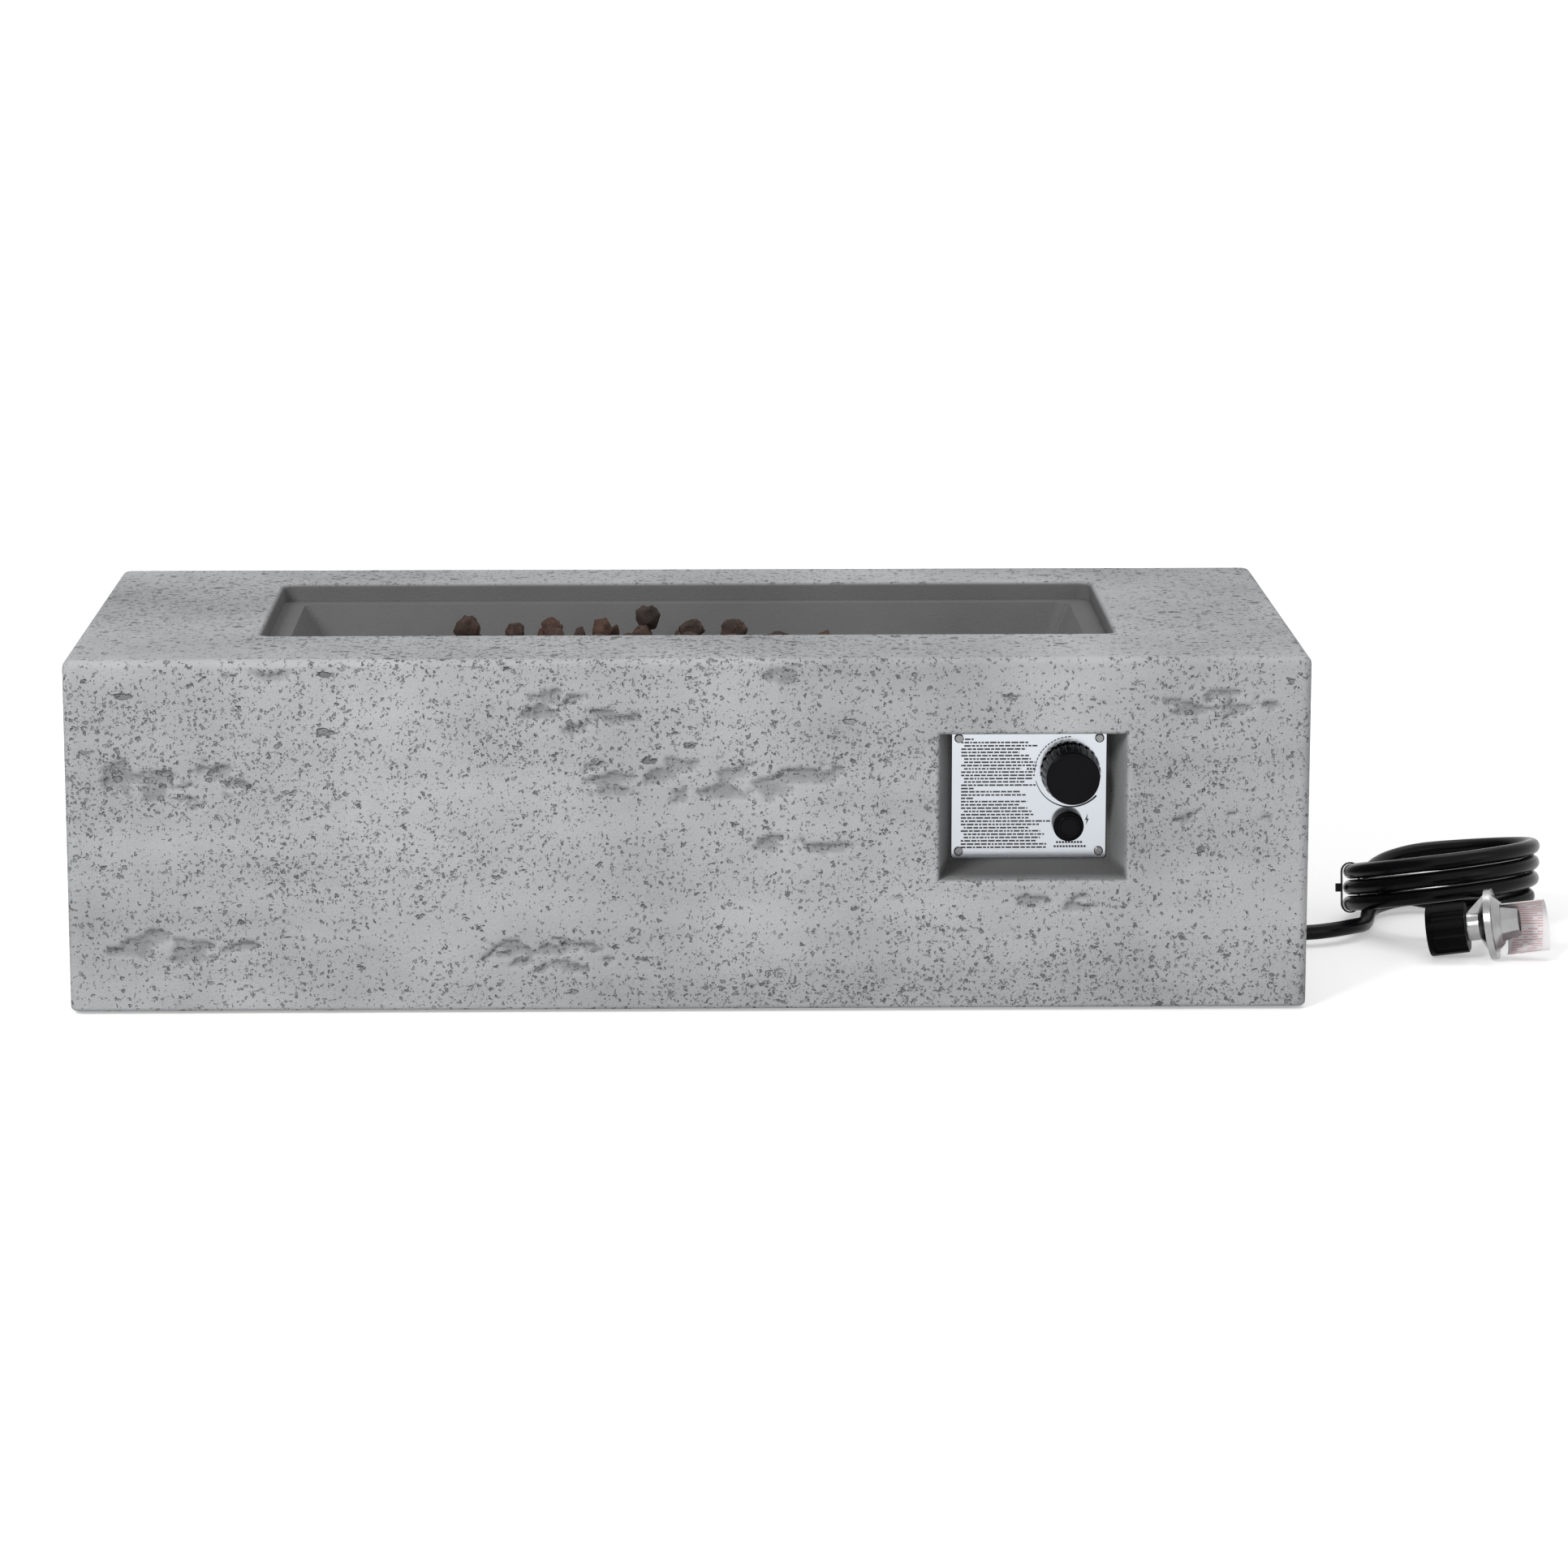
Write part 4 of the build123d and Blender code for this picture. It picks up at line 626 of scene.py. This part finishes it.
def moulded_material(name, colour, roughness, grain, scale=1400.0, specular=0.5):
    """Moulded plastic or rubber: fine texture, faint bloom and finger wear."""
    material, tree, shader, place = start_material(name)
    mottle = place_group(tree, "Mottle", {"Vector": place, "Clouds": 28.0, "Grain": scale})
    bloom = tuple(min(c * 1.6 + 0.001, 1.0) for c in colour[:3]) + (1.0,)
    skin = blend_colours(tree, mottle["Cloud"], tinted(colour), bloom)
    gloss = remap(tree, mottle["Cloud"], 0, 1, roughness * 0.8, roughness * 1.25)
    link_skin(tree, shader, skin, gloss)
    shader.inputs["Specular IOR Level"].default_value = specular
    link_bump(tree, shader, mottle["Grain"], grain)
    return material


def rock_material():
    """Lava: rusty and charred lumps, each with its own tone, full of small bubbles darkened with
    painted shade.
    """
    colours = settings().colours
    material, tree, shader, place = start_material("lava_stone")
    tone = add_node(tree, "Attribute", attribute_name="rock_tone").outputs["Fac"]
    mottle = place_group(tree, "Mottle", {"Vector": place, "Clouds": 90.0, "Grain": 900.0})
    inputs = {"Vector": place, "Cells": 330.0, "Share": 0.55, "Size": 0.45}
    large = place_group(tree, "Pocks", inputs)
    inputs = {"Vector": place, "Cells": 800.0, "Share": 0.6, "Size": 0.45}
    small = place_group(tree, "Pocks", inputs)
    char = tinted([c * s for c, s in zip(colours.rock, (0.42, 0.62, 0.75))])
    dusty = tinted([c * s for c, s in zip(colours.rock, (1.7, 1.75, 1.9))])
    body = blend_colours(tree, tone, char, tinted(colours.rock))
    body = blend_colours(tree, remap(tree, mottle["Cloud"], 0.45, 1.0, 0.0, 0.8), body, dusty)
    # The bubbles are darkened almost to black as painted shade inside them.
    hollow_shade = calculate(tree, "MAXIMUM", large["Mask"], small["Mask"])
    body = blend_colours(tree, product(tree, hollow_shade, 0.7), body, (0.012, 0.008, 0.007, 1.0))
    link_skin(tree, shader, body, remap(tree, mottle["Grain"], 0, 1, 0.85, 1.0))
    shader.inputs["Specular IOR Level"].default_value = 0.2
    depth = calculate(tree, "ADD", large["Height"], product(tree, small["Height"], 0.4))
    height = calculate(tree, "SUBTRACT", product(tree, mottle["Grain"], 0.4), depth)
    link_bump(tree, shader, height, 0.0012)
    return material


def paper_material():
    """Coated paper with faint fibres and plain printed rules along the curl."""
    ink = tuple(settings().colours.rule_ink)
    material, tree, shader, place = start_material("tag_paper")
    mottle = place_group(tree, "Mottle", {"Vector": place, "Clouds": 60.0, "Grain": 1500.0})
    dull, bright = (0.90, 0.88, 0.89, 1.0), (0.96, 0.945, 0.955, 1.0)
    sheet = blend_colours(tree, mottle["Cloud"], dull, bright)
    inputs = {"Vector": place, "Location": REGULATOR_PLACE, "Rotation": REGULATOR_TURN}
    local = add_node(tree, "Mapping", inputs, vector_type="TEXTURE").outputs["Vector"]
    x, y, z = add_node(tree, "SeparateXYZ", {0: local}).outputs
    row = product(tree, calculate(tree, "ARCTAN2", z, y), TAG_ROWS)
    word = product(tree, x, TAG_WORDS)
    cell = {0: calculate(tree, "FLOOR", row), 1: calculate(tree, "FLOOR", word)}
    cell = add_node(tree, "CombineXYZ", cell).outputs[0]
    chance = add_node(tree, "TexWhiteNoise", {"Vector": cell}).outputs["Value"]
    written = calculate(tree, "GREATER_THAN", chance, 0.22)
    stripe = calculate(tree, "LESS_THAN", calculate(tree, "FRACT", row), 0.42)
    start, end = TAG_PRINT
    after = calculate(tree, "GREATER_THAN", x, start)
    margin = product(tree, after, calculate(tree, "LESS_THAN", x, end))
    rules = product(tree, product(tree, written, stripe), margin)
    skin = blend_colours(tree, product(tree, rules, 0.55), sheet, ink)
    link_skin(tree, shader, skin, remap(tree, mottle["Grain"], 0, 1, 0.5, 0.7))
    link_bump(tree, shader, mottle["Cloud"], 0.0004)
    return material


def ink_material():
    """Screen-printed ink, thin in places."""
    material, tree, shader, place = start_material("plate_ink")
    mottle = place_group(tree, "Mottle", {"Vector": place, "Clouds": 300.0, "Grain": 2600.0})
    dense, thin = (0.012, 0.012, 0.013, 1.0), (0.035, 0.036, 0.038, 1.0)
    skin = blend_colours(tree, mottle["Cloud"], dense, thin)
    link_skin(tree, shader, skin, remap(tree, mottle["Grain"], 0, 1, 0.4, 0.6))
    return material


def dress(material, *names):
    """Gives a finished material to CAD nodes."""
    for name in names:
        slots = NODES[name].data.materials
        slots.clear()
        slots.append(material)


def finish_piece(name, mesh, material, body):
    """Links a mesh as a named piece that rides on a body."""
    mesh.materials.append(material)
    piece = bpy.data.objects.new(name, mesh)
    bpy.context.scene.collection.objects.link(piece)
    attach(piece, body)
    return piece


def smooth_step(value, low, high):
    share = min(max((value - low) / (high - low), 0.0), 1.0)
    return share * share * (3 - 2 * share)


def gouge_reach(point, front):
    """How far a place on a side is torn: at set places in front, in level bands elsewhere."""
    x, y, z = point
    if not front:
        place = Vector((x * BAND_ALONG, y * BAND_ALONG, z * BAND_UP + BAND_SHIFT))
        return smooth_step(noise.noise(place), *BAND_EDGE)
    reach = 0.0
    for middle_x, middle_z, half_x, half_z in GOUGES:
        away = math.hypot((x - middle_x) / half_x, (z - middle_z) / half_z)
        reach = max(reach, 1 - smooth_step(away, *GOUGE_EDGE))
    return reach


def gouge_share(point, front):
    """Share of the full gouge depth at a place."""
    reach = gouge_reach(point, front)
    if reach <= 0.0:
        return 0.0
    x, y, z = point
    place = Vector((x * RAGGED_ALONG, y * RAGGED_ALONG, z * RAGGED_UP))
    torn = noise.fractal(place, 1.0, 2.1, 4) - 0.75 + 0.77 * reach
    return 0.7 * smooth_step(torn, 0.0, 0.09) + 0.3 * smooth_step(torn, 0.1, 0.6)


def slice_side(shape, outward, grid):
    """Cuts one flat outer side of the casting into a fine grid and returns its vertices."""
    level = max(vert.co.dot(outward) for vert in shape.verts)
    flat = [
        face
        for face in shape.faces
        if face.normal.dot(outward) > FLAT_NORMAL
        and abs(face.calc_center_median().dot(outward) - level) < FLAT_DISTANCE
    ]
    edges = {edge for face in flat for edge in face.edges}
    verts = {vert for face in flat for vert in face.verts}
    geometry = [*verts, *edges, *flat]
    for way in (UP.cross(outward), UP):
        places = [vert.co.dot(way) for vert in verts]
        start, width = min(places), max(places) - min(places)
        count = int(width / grid)
        step = width / count
        for index in range(1, count):
            geometry = bmesh.ops.bisect_plane(
                shape,
                geom=geometry,
                dist=SLICE_DISTANCE,
                plane_co=way * (start + index * step),
                plane_no=way,
            )["geom"]
    return [item for item in geometry if isinstance(item, bmesh.types.BMVert)]


def tear_side(verts, outward, depth, layer):
    """Presses the ragged gouges into one side, clear of its edges."""
    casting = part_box("concrete_body")
    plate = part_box("control_panel")
    for vert in verts:
        if any(abs(face.normal.dot(outward)) < FLAT_NORMAL for face in vert.link_faces):
            vert[layer] = 0.0
            continue
        clearance = side_clearance(vert.co, casting, plate)
        vert[layer] = gouge_share(vert.co, outward.y < 0.0) * clearance
    for vert in verts:
        vert.co -= outward * depth * vert[layer]


def side_clearance(point, casting, plate):
    """Zero at the casting's edges and round the control recess, and one a little way in."""
    low, high = casting
    plate_low, plate_high = plate
    inward = sorted(min(point[axis] - low[axis], high[axis] - point[axis]) for axis in range(3))
    beyond_x = max(plate_low.x - point.x, point.x - plate_high.x) - RECESS_MARGIN_X
    beyond_z = max(plate_low.z - point.z, point.z - plate_high.z) - RECESS_MARGIN_Z
    near_plate = max(beyond_x, beyond_z) if point.y < 0.0 else 1.0
    clear = min(inward[1], max(near_plate, 0.0))
    return smooth_step(clear, GOUGE_CLEAR, 2.5 * GOUGE_CLEAR)


def loose_parts(shape):
    """Groups of vertices that hang together."""
    waiting = set(shape.verts)
    parts = []
    while waiting:
        group = [waiting.pop()]
        for vert in group:
            for edge in vert.link_edges:
                other = edge.other_vert(vert)
                if other in waiting:
                    waiting.remove(other)
                    group.append(other)
        parts.append(sorted(group, key=lambda vert: vert.index))
    return sorted(parts, key=lambda group: group[0].index)


def roughen_rocks(shape, depth):
    """Presses hollows between lumps and small bubbles into the rocks, never outwards."""
    shape.normal_update()
    presses = []
    for vert in shape.verts:
        lumps = noise.voronoi(vert.co * ROCK_LUMPS)[0][0]
        bubbles = noise.noise(vert.co * ROCK_BUBBLES)
        presses.append(depth * (1.5 * lumps + 0.45 * max(bubbles, 0.0)))
    for vert, press in zip(shape.verts, presses):
        vert.co -= vert.normal * press


def add_bar(shape, left, right, low, high, front, thickness, turn=0.0):
    """Thin printed bar on the plate, turned about its own middle."""
    middle = Matrix.Translation(((left + right) / 2, front, (low + high) / 2))
    size = Matrix.Diagonal((right - left, 2 * thickness, high - low, 1.0))
    bmesh.ops.create_cube(shape, size=1.0, matrix=middle @ Matrix.Rotation(turn, 4, "Y") @ size)


def print_rows(shape, chance, front, thickness):
    """Rows of word-like bars with ragged right ends."""
    for row in range(PRINT_ROWS):
        middle = PRINT_TOP - row * PRINT_PITCH
        heading = row in PRINT_HEADINGS
        reach = chance.uniform(*(PRINT_REACH_HIGH if middle > PRINT_STEP else PRINT_REACH_LOW))
        right = PRINT_LEFT + PRINT_HEADING if heading else reach
        left = PRINT_LEFT + (PRINT_INDENT if not heading and chance.random() < 0.3 else 0.0)
        low, high = middle - PRINT_BAR / 2, middle + PRINT_BAR / 2
        while left < right:
            word = min(left + chance.uniform(*PRINT_WORD), right)
            add_bar(shape, left, word, low, high, front, thickness)
            left = word + PRINT_GAP


def print_dial(shape, front, thickness):
    """Dashes over the knob's upper left, and a level mark that swells towards its lower right."""
    for degrees in range(*DIAL_DASHES):
        print_tick(shape, degrees, *DASH_SIZE, front, thickness)
    first, last, step = DIAL_SWELL
    for degrees in range(first, last, step):
        height = SWELL_THIN + SWELL_GROWTH * (degrees - first) / (last - first)
        print_tick(shape, degrees, SWELL_LENGTH, height, front, thickness)


def print_tick(shape, degrees, length, height, front, thickness):
    angle = math.radians(degrees)
    x = KNOB_AXIS[0] + DIAL_RADIUS * math.cos(angle)
    z = KNOB_AXIS[1] + DIAL_RADIUS * math.sin(angle)
    left, right = x - length / 2, x + length / 2
    low, high = z - height / 2, z + height / 2
    add_bar(shape, left, right, low, high, front, thickness, math.pi / 2 - angle)


def print_spark(shape, front, thickness):
    """Plain spark sign beside the igniter button."""
    middle_x, middle_z = SPARK_PLACE
    near, far = (
        [shape.verts.new((middle_x + x, depth, middle_z + z)) for x, z in SPARK_OUTLINE]
        for depth in (front - thickness, front + thickness)
    )
    shape.faces.new(near)
    shape.faces.new(far)
    for index in range(len(SPARK_OUTLINE)):
        shape.faces.new((near[index - 1], near[index], far[index], far[index - 1]))


def coil_plan(angle):
    """Hose's centre line seen from above: an inner turn that widens into the outer turns."""
    widen = min(max((WIDEN_START - angle) / WIDEN_ANGLE, 0.0), 1.0)
    share = (1 - math.cos(math.pi * widen)) / 2
    tuck = max(-360 * (COIL_TURNS + 1) + 90 - angle, 0) / 90
    radius = INNER_RADIUS + (COIL_RADIUS - INNER_RADIUS) * share - COIL_TUCK * tuck
    x, y = (inner + (outer - inner) * share for inner, outer in zip(INNER_CENTRE, COIL_CENTRE))
    around = math.radians(angle)
    return x + radius * math.cos(around), y + radius * math.sin(around)


def leaning_height(angle):
    """Height of the leaning outer turns, which wind down clockwise."""
    x, y = coil_plan(angle)
    level = COIL_LOW + COIL_PITCH * (angle / 360 + COIL_TURNS + 1)
    return level + COIL_LEAN_RIGHT * (x - COIL_CENTRE[0]) - COIL_LEAN_FRONT * (y - COIL_CENTRE[1])


def coil_point(angle):
    x, y = coil_plan(angle)
    if angle <= CLIMB_END:
        return x, y, leaning_height(angle)
    climb = ((INNER_START - angle) / (INNER_START - CLIMB_END)) ** 1.25
    return x, y, HOSE_GROUND + (leaning_height(CLIMB_END) - HOSE_GROUND) * climb


def hose_points():
    """Control points of the hose from the casting to its ferrule."""
    last = -360 * (COIL_TURNS + 1)
    turns = [coil_point(angle) for angle in range(INNER_START, last, -COIL_STEP)]
    return [*LEAD_POINTS, *turns, coil_point(last), *TAIL_POINTS]


def seat_spline(curve, points):
    spline = curve.splines.new("NURBS")
    spline.points.add(len(points) - 1)
    for control, place in zip(spline.points, points):
        control.co = (*place, 1.0)
    spline.order_u = 3
    spline.use_endpoint_u = True


class FIREPIT_OT_casting(bpy.types.Operator):
    """Finishes the casting, tears the gouges into its sides and finishes its feet"""

    bl_idname = "fire_pit.casting"
    bl_label = "Casting"

    def execute(self, context):
        cement = casting_material()
        dress(cement, "concrete_body", "trough_basin", "control_niche")
        shape = bmesh.new()
        shape.from_mesh(NODES["concrete_body"].data)
        bmesh.ops.remove_doubles(shape, verts=shape.verts, dist=MERGE_DISTANCE)
        bmesh.ops.dissolve_limit(
            shape,
            angle_limit=math.radians(DISSOLVE_DEGREES),
            use_dissolve_boundaries=False,
            verts=shape.verts,
            edges=shape.edges,
        )
        torn = shape.verts.layers.float.new("gouge")
        for outward, grid in SIDES:
            verts = slice_side(shape, outward, grid)
            tear_side(verts, outward, settings().sizes.gouge_depth, torn)
        mesh = bpy.data.meshes.new("cast_shell")
        shape.to_mesh(mesh)
        shape.free()
        mesh.shade_smooth()
        mesh.set_sharp_from_angle(angle=math.radians(SHARP_DEGREES))
        shell = finish_piece("cast_shell", mesh, cement, ROOT)
        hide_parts("concrete_body")
        feet = [name for name in NODES if name.startswith("foot_")]
        rubber = moulded_material("foot_rubber", (0.012, 0.012, 0.012), 0.75, 0.0003, 900.0, 0.15)
        dress(rubber, *feet)
        return {"FINISHED"}


class FIREPIT_OT_controls(bpy.types.Operator):
    """Finishes the control plate, the knob, the igniter and the valve behind them"""

    bl_idname = "fire_pit.controls"
    bl_label = "Controls"

    def execute(self, context):
        colours = settings().colours
        brushed = (14.0, 900.0, 1400.0)
        plate = metal_material("bright_plate", colours.plate, 0.13, 0.000006, brushed, 0.03)
        dress(plate, "control_panel")
        screws = metal_material("screw_steel", (0.24, 0.24, 0.245), 0.22, 0.00003)
        dress(screws, "panel_screws", "valve_screws")
        wire = metal_material("spring_steel", (0.55, 0.55, 0.55), 0.3, 0.00002)
        dress(wire, "stem_spring", "igniter_spring")
        for spring, joint in PUSHES:
            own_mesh(NODES[spring])
        gloss = moulded_material("knob_black", (0.004, 0.004, 0.005), 0.2, 0.00003, 1400.0, 0.05)
        dress(gloss, "control_knob", "igniter_button")
        satin = moulded_material("satin_black", (0.004, 0.004, 0.0045), 0.35, 0.00006, 1400.0, 0.04)
        dress(satin, "igniter_housing", "igniter_nut")
        brass = metal_material("turned_brass", (0.62, 0.45, 0.19), 0.32, 0.00003)
        dress(brass, "valve_stem", "valve_plug", "magnet_unit", "inlet_fitting", "outlet_fitting")
        rough = cast_metal_material("valve_casting", (0.5, 0.5, 0.5), 0.45, 0.0002)
        dress(rough, "valve_body", "valve_bonnet")
        wrapper = moulded_material("battery_wrapper", (0.06, 0.06, 0.065), 0.35, 0.00003)
        dress(wrapper, "igniter_battery")
        sheath = moulded_material("lead_sheath", (0.012, 0.012, 0.012), 0.5, 0.00005, 1400.0, 0.3)
        dress(sheath, "igniter_lead")
        copper = metal_material("lead_copper", (0.58, 0.29, 0.17), 0.35, 0.00003)
        dress(copper, "thermocouple_lead")
        return {"FINISHED"}


class FIREPIT_OT_marks(bpy.types.Operator):
    """Makes the plain printed marks on the control plate"""

    bl_idname = "fire_pit.marks"
    bl_label = "Plate marks"

    def execute(self, context):
        chance = random.Random(settings().sizes.seed)
        thickness = settings().sizes.ink_height
        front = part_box("control_panel")[0].y
        shape = bmesh.new()
        print_rows(shape, chance, front, thickness)
        print_dial(shape, front, thickness)
        print_spark(shape, front, thickness)
        for left, right, middle in LABELS:
            low, high = middle - LABEL_HEIGHT / 2, middle + LABEL_HEIGHT / 2
            while left < right:
                add_bar(shape, left, left + LABEL_BAR, low, high, front, thickness)
                left += LABEL_PITCH
        bmesh.ops.recalc_face_normals(shape, faces=shape.faces)
        mesh = bpy.data.meshes.new("plate_marks")
        shape.to_mesh(mesh)
        shape.free()
        finish_piece("plate_marks", mesh, ink_material(), ROOT)
        return {"FINISHED"}


class FIREPIT_OT_burner(bpy.types.Operator):
    """Finishes the burner, its tray and its gas train"""

    bl_idname = "fire_pit.burner"
    bl_label = "Burner"

    def execute(self, context):
        rolled = (7.0, 600.0, 600.0)
        sheet = metal_material("burner_steel", (0.42, 0.40, 0.38), 0.4, 0.00004, rolled, 0.2)
        dress(sheet, "burner_tray", "burner_tube", "burner_saddles", "mixer_tube", "sensor_bracket")
        probes = metal_material("probe_steel", (0.5, 0.49, 0.47), 0.3, 0.00002)
        dress(probes, "electrode_rod", "thermocouple")
        ceramic = moulded_material("white_ceramic", (0.8, 0.79, 0.75), 0.2, 0.00002)
        dress(ceramic, "electrode_ceramic")
        tube = metal_material("drawn_aluminium", (0.62, 0.62, 0.62), 0.35, 0.00003)
        dress(tube, "supply_tube")
        brass = metal_material("jet_brass", (0.6, 0.43, 0.18), 0.3, 0.00003)
        dress(brass, "gas_injector", "mixer_nut")
        return {"FINISHED"}


class FIREPIT_OT_rocks(bpy.types.Operator):
    """Makes the knobbly lava rocks over the burner"""

    bl_idname = "fire_pit.rocks"
    bl_label = "Lava rocks"

    def execute(self, context):
        chance = random.Random(settings().sizes.seed)
        shape = bmesh.new()
        shape.from_mesh(NODES["lava_rocks"].data)
        bmesh.ops.remove_doubles(shape, verts=shape.verts, dist=MERGE_DISTANCE)
        tones = shape.verts.layers.float.new("rock_tone")
        for rock in loose_parts(shape):
            tone = chance.random()
            for vert in rock:
                vert[tones] = tone
        bmesh.ops.subdivide_edges(shape, edges=shape.edges, cuts=4, use_grid_fill=True)
        bmesh.ops.triangulate(shape, faces=shape.faces)
        bmesh.ops.smooth_vert(
            shape, verts=shape.verts, factor=0.5, use_axis_x=True, use_axis_y=True, use_axis_z=True
        )
        roughen_rocks(shape, settings().sizes.rock_roughness)
        mesh = bpy.data.meshes.new("lava_rock_heap")
        shape.to_mesh(mesh)
        shape.free()
        mesh.shade_smooth()
        heap = finish_piece("lava_rock_heap", mesh, rock_material(), ROOT)
        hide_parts("lava_rocks")
        return {"FINISHED"}


class FIREPIT_OT_hose(bpy.types.Operator):
    """Makes the coiled hose and finishes its fittings"""

    bl_idname = "fire_pit.hose"
    bl_label = "Hose"

    def execute(self, context):
        colour = settings().colours.rubber
        rubber = moulded_material("hose_rubber", colour, 0.22, 0.00005, 1100.0, 0.11)
        dress(rubber, "hose_inner", "hose_grommet", "regulator_diaphragm")
        tie = moulded_material("tie_plastic", (0.006, 0.006, 0.0065), 0.35, 0.00004, 1400.0, 0.15)
        dress(tie, "hose_tie")
        crimp = metal_material("crimp_steel", (0.58, 0.58, 0.58), 0.35, 0.00004)
        dress(crimp, "hose_ferrule")
        curve = bpy.data.curves.new("hose", "CURVE")
        curve.dimensions = "3D"
        curve.resolution_u = 6
        curve.bevel_depth = HOSE_DIAMETER / 2
        curve.bevel_resolution = 6
        curve.use_fill_caps = True
        seat_spline(curve, hose_points())
        curve.materials.append(rubber)
        hose = bpy.data.objects.new("gas_hose", curve)
        context.scene.collection.objects.link(hose)
        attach(hose, ROOT)
        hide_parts("hose_lead", "hose_coil")
        return {"FINISHED"}


class FIREPIT_OT_regulator(bpy.types.Operator):
    """Finishes the regulator, its coupling nut and its paper tag"""

    bl_idname = "fire_pit.regulator"
    bl_label = "Regulator"

    def execute(self, context):
        zinc = cast_metal_material("cast_zinc", (0.40, 0.40, 0.405), 0.2, 0.00006)
        dress(zinc, "regulator_body", "regulator_bonnet", "regulator_cap")
        plated = metal_material("plated_fitting", (0.46, 0.46, 0.455), 0.18, 0.00001)
        dress(plated, "inlet_nipple", "outlet_barb")
        black = moulded_material("nut_black", (0.002, 0.002, 0.0023), 0.3, 0.00006, 1400.0, 0.03)
        dress(black, "coupling_nut")
        dress(paper_material(), "paper_tag")
        return {"FINISHED"}


class FIREPIT_OT_stage(bpy.types.Operator):
    """Makes the floor, the studio light and the camera"""

    bl_idname = "fire_pit.stage"
    bl_label = "Stage"

    def execute(self, context):
        make_floor()
        make_world()
        for lamp in LAMPS:
            make_lamp(*lamp)
        make_camera()
        return {"FINISHED"}


def seen_directly(tree):
    """One for camera, glossy and transmission rays, and zero for the light on the object."""
    path = tree.nodes.new("ShaderNodeLightPath").outputs
    direct = calculate(tree, "MAXIMUM", path["Is Camera Ray"], path["Is Glossy Ray"])
    return calculate(tree, "MAXIMUM", direct, path["Is Transmission Ray"])


def make_floor():
    """White floor that takes the object's shadow and turns plain white further out."""
    mesh = bpy.data.meshes.new("floor")
    shape = bmesh.new()
    bmesh.ops.create_grid(shape, x_segments=1, y_segments=1, size=FLOOR_HALF)
    shape.to_mesh(mesh)
    shape.free()
    material, tree, shader, place = start_material("pale_floor")
    direct = seen_directly(tree)
    tone = blend_colours(tree, direct, (0.62, 0.62, 0.62, 1.0), (1.0, 1.0, 1.0, 1.0))
    tree.links.new(tone, shader.inputs["Base Color"])
    reach = add_node(tree, "VectorMath", {0: place}, operation="LENGTH").outputs["Value"]
    (near, near_glow), (far, far_glow) = FLOOR_GLOW
    glow = remap(tree, reach, near, far, near_glow, far_glow)
    tree.links.new(product(tree, glow, direct), shader.inputs["Emission Strength"])
    shader.inputs["Emission Color"].default_value = (1.0, 1.0, 1.0, 1.0)
    shader.inputs["Roughness"].default_value = 0.95
    shader.inputs["Specular IOR Level"].default_value = 0.0
    mesh.materials.append(material)
    floor = bpy.data.objects.new("floor", mesh)
    bpy.context.scene.collection.objects.link(floor)


def make_world():
    world = bpy.data.worlds.new("studio")
    world.use_nodes = True
    tree = world.node_tree
    strength = remap(tree, seen_directly(tree), 0.0, 1.0, WORLD_LIGHT, 1.0)
    tree.links.new(strength, tree.nodes["Background"].inputs["Strength"])
    tree.nodes["Background"].inputs["Color"].default_value = (1.0, 1.0, 1.0, 1.0)
    bpy.context.scene.world = world


def make_lamp(name, place, target, size, power):
    data = bpy.data.lights.new(name, "AREA")
    data.shape = "SQUARE"
    data.size = size
    data.energy = power
    lamp = bpy.data.objects.new(name, data)
    lamp.location = place
    lamp.rotation_euler = (Vector(target) - Vector(place)).to_track_quat("-Z", "Y").to_euler()
    bpy.context.scene.collection.objects.link(lamp)


def make_camera():
    data = bpy.data.cameras.new("camera")
    data.sensor_fit = "HORIZONTAL"
    data.sensor_width = SENSOR_WIDTH
    data.lens = CAMERA_FOCAL_PIXELS * SENSOR_WIDTH / PHOTO_PIXELS
    data.clip_end = 100.0
    camera = bpy.data.objects.new("camera", data)
    camera.location = CAMERA_PLACE
    camera.rotation_euler = (math.pi / 2 - CAMERA_PITCH, 0.0, -CAMERA_YAW)
    bpy.context.scene.collection.objects.link(camera)
    bpy.context.scene.camera = camera
    bpy.context.scene.view_settings.view_transform = "Standard"


STEPS = ("casting", "controls", "marks", "burner", "rocks", "hose", "regulator", "stage")


class FIREPIT_PT_panel(bpy.types.Panel):
    """Sidebar panel of the fire pit"""

    bl_idname = "FIREPIT_PT_panel"
    bl_label = "Fire Pit"
    bl_space_type = "VIEW_3D"
    bl_region_type = "UI"
    bl_category = "Fire Pit"

    def draw(self, context):
        chosen = context.scene.fire_pit
        for group in (chosen.colours, chosen.sizes):
            box = self.layout.box()
            for name in group.__annotations__:
                box.prop(group, name)
        for step in STEPS:
            self.layout.operator("fire_pit." + step)


CLASSES = (
    FirePitColours,
    FirePitSizes,
    FirePitSettings,
    FIREPIT_OT_casting,
    FIREPIT_OT_controls,
    FIREPIT_OT_marks,
    FIREPIT_OT_burner,
    FIREPIT_OT_rocks,
    FIREPIT_OT_hose,
    FIREPIT_OT_regulator,
    FIREPIT_OT_stage,
    FIREPIT_PT_panel,
)


def register():
    for cls in CLASSES:
        bpy.utils.register_class(cls)
    bpy.types.Scene.fire_pit = PointerProperty(type=FirePitSettings)


def unregister():
    del bpy.types.Scene.fire_pit
    for cls in reversed(CLASSES):
        bpy.utils.unregister_class(cls)


def main():
    register()
    for make_group in (make_pock_group, make_mottle_group, make_brushing_group, make_box_group):
        make_group()
    for step in STEPS:
        getattr(bpy.ops.fire_pit, step)()


if __name__ == "__main__":
    main()
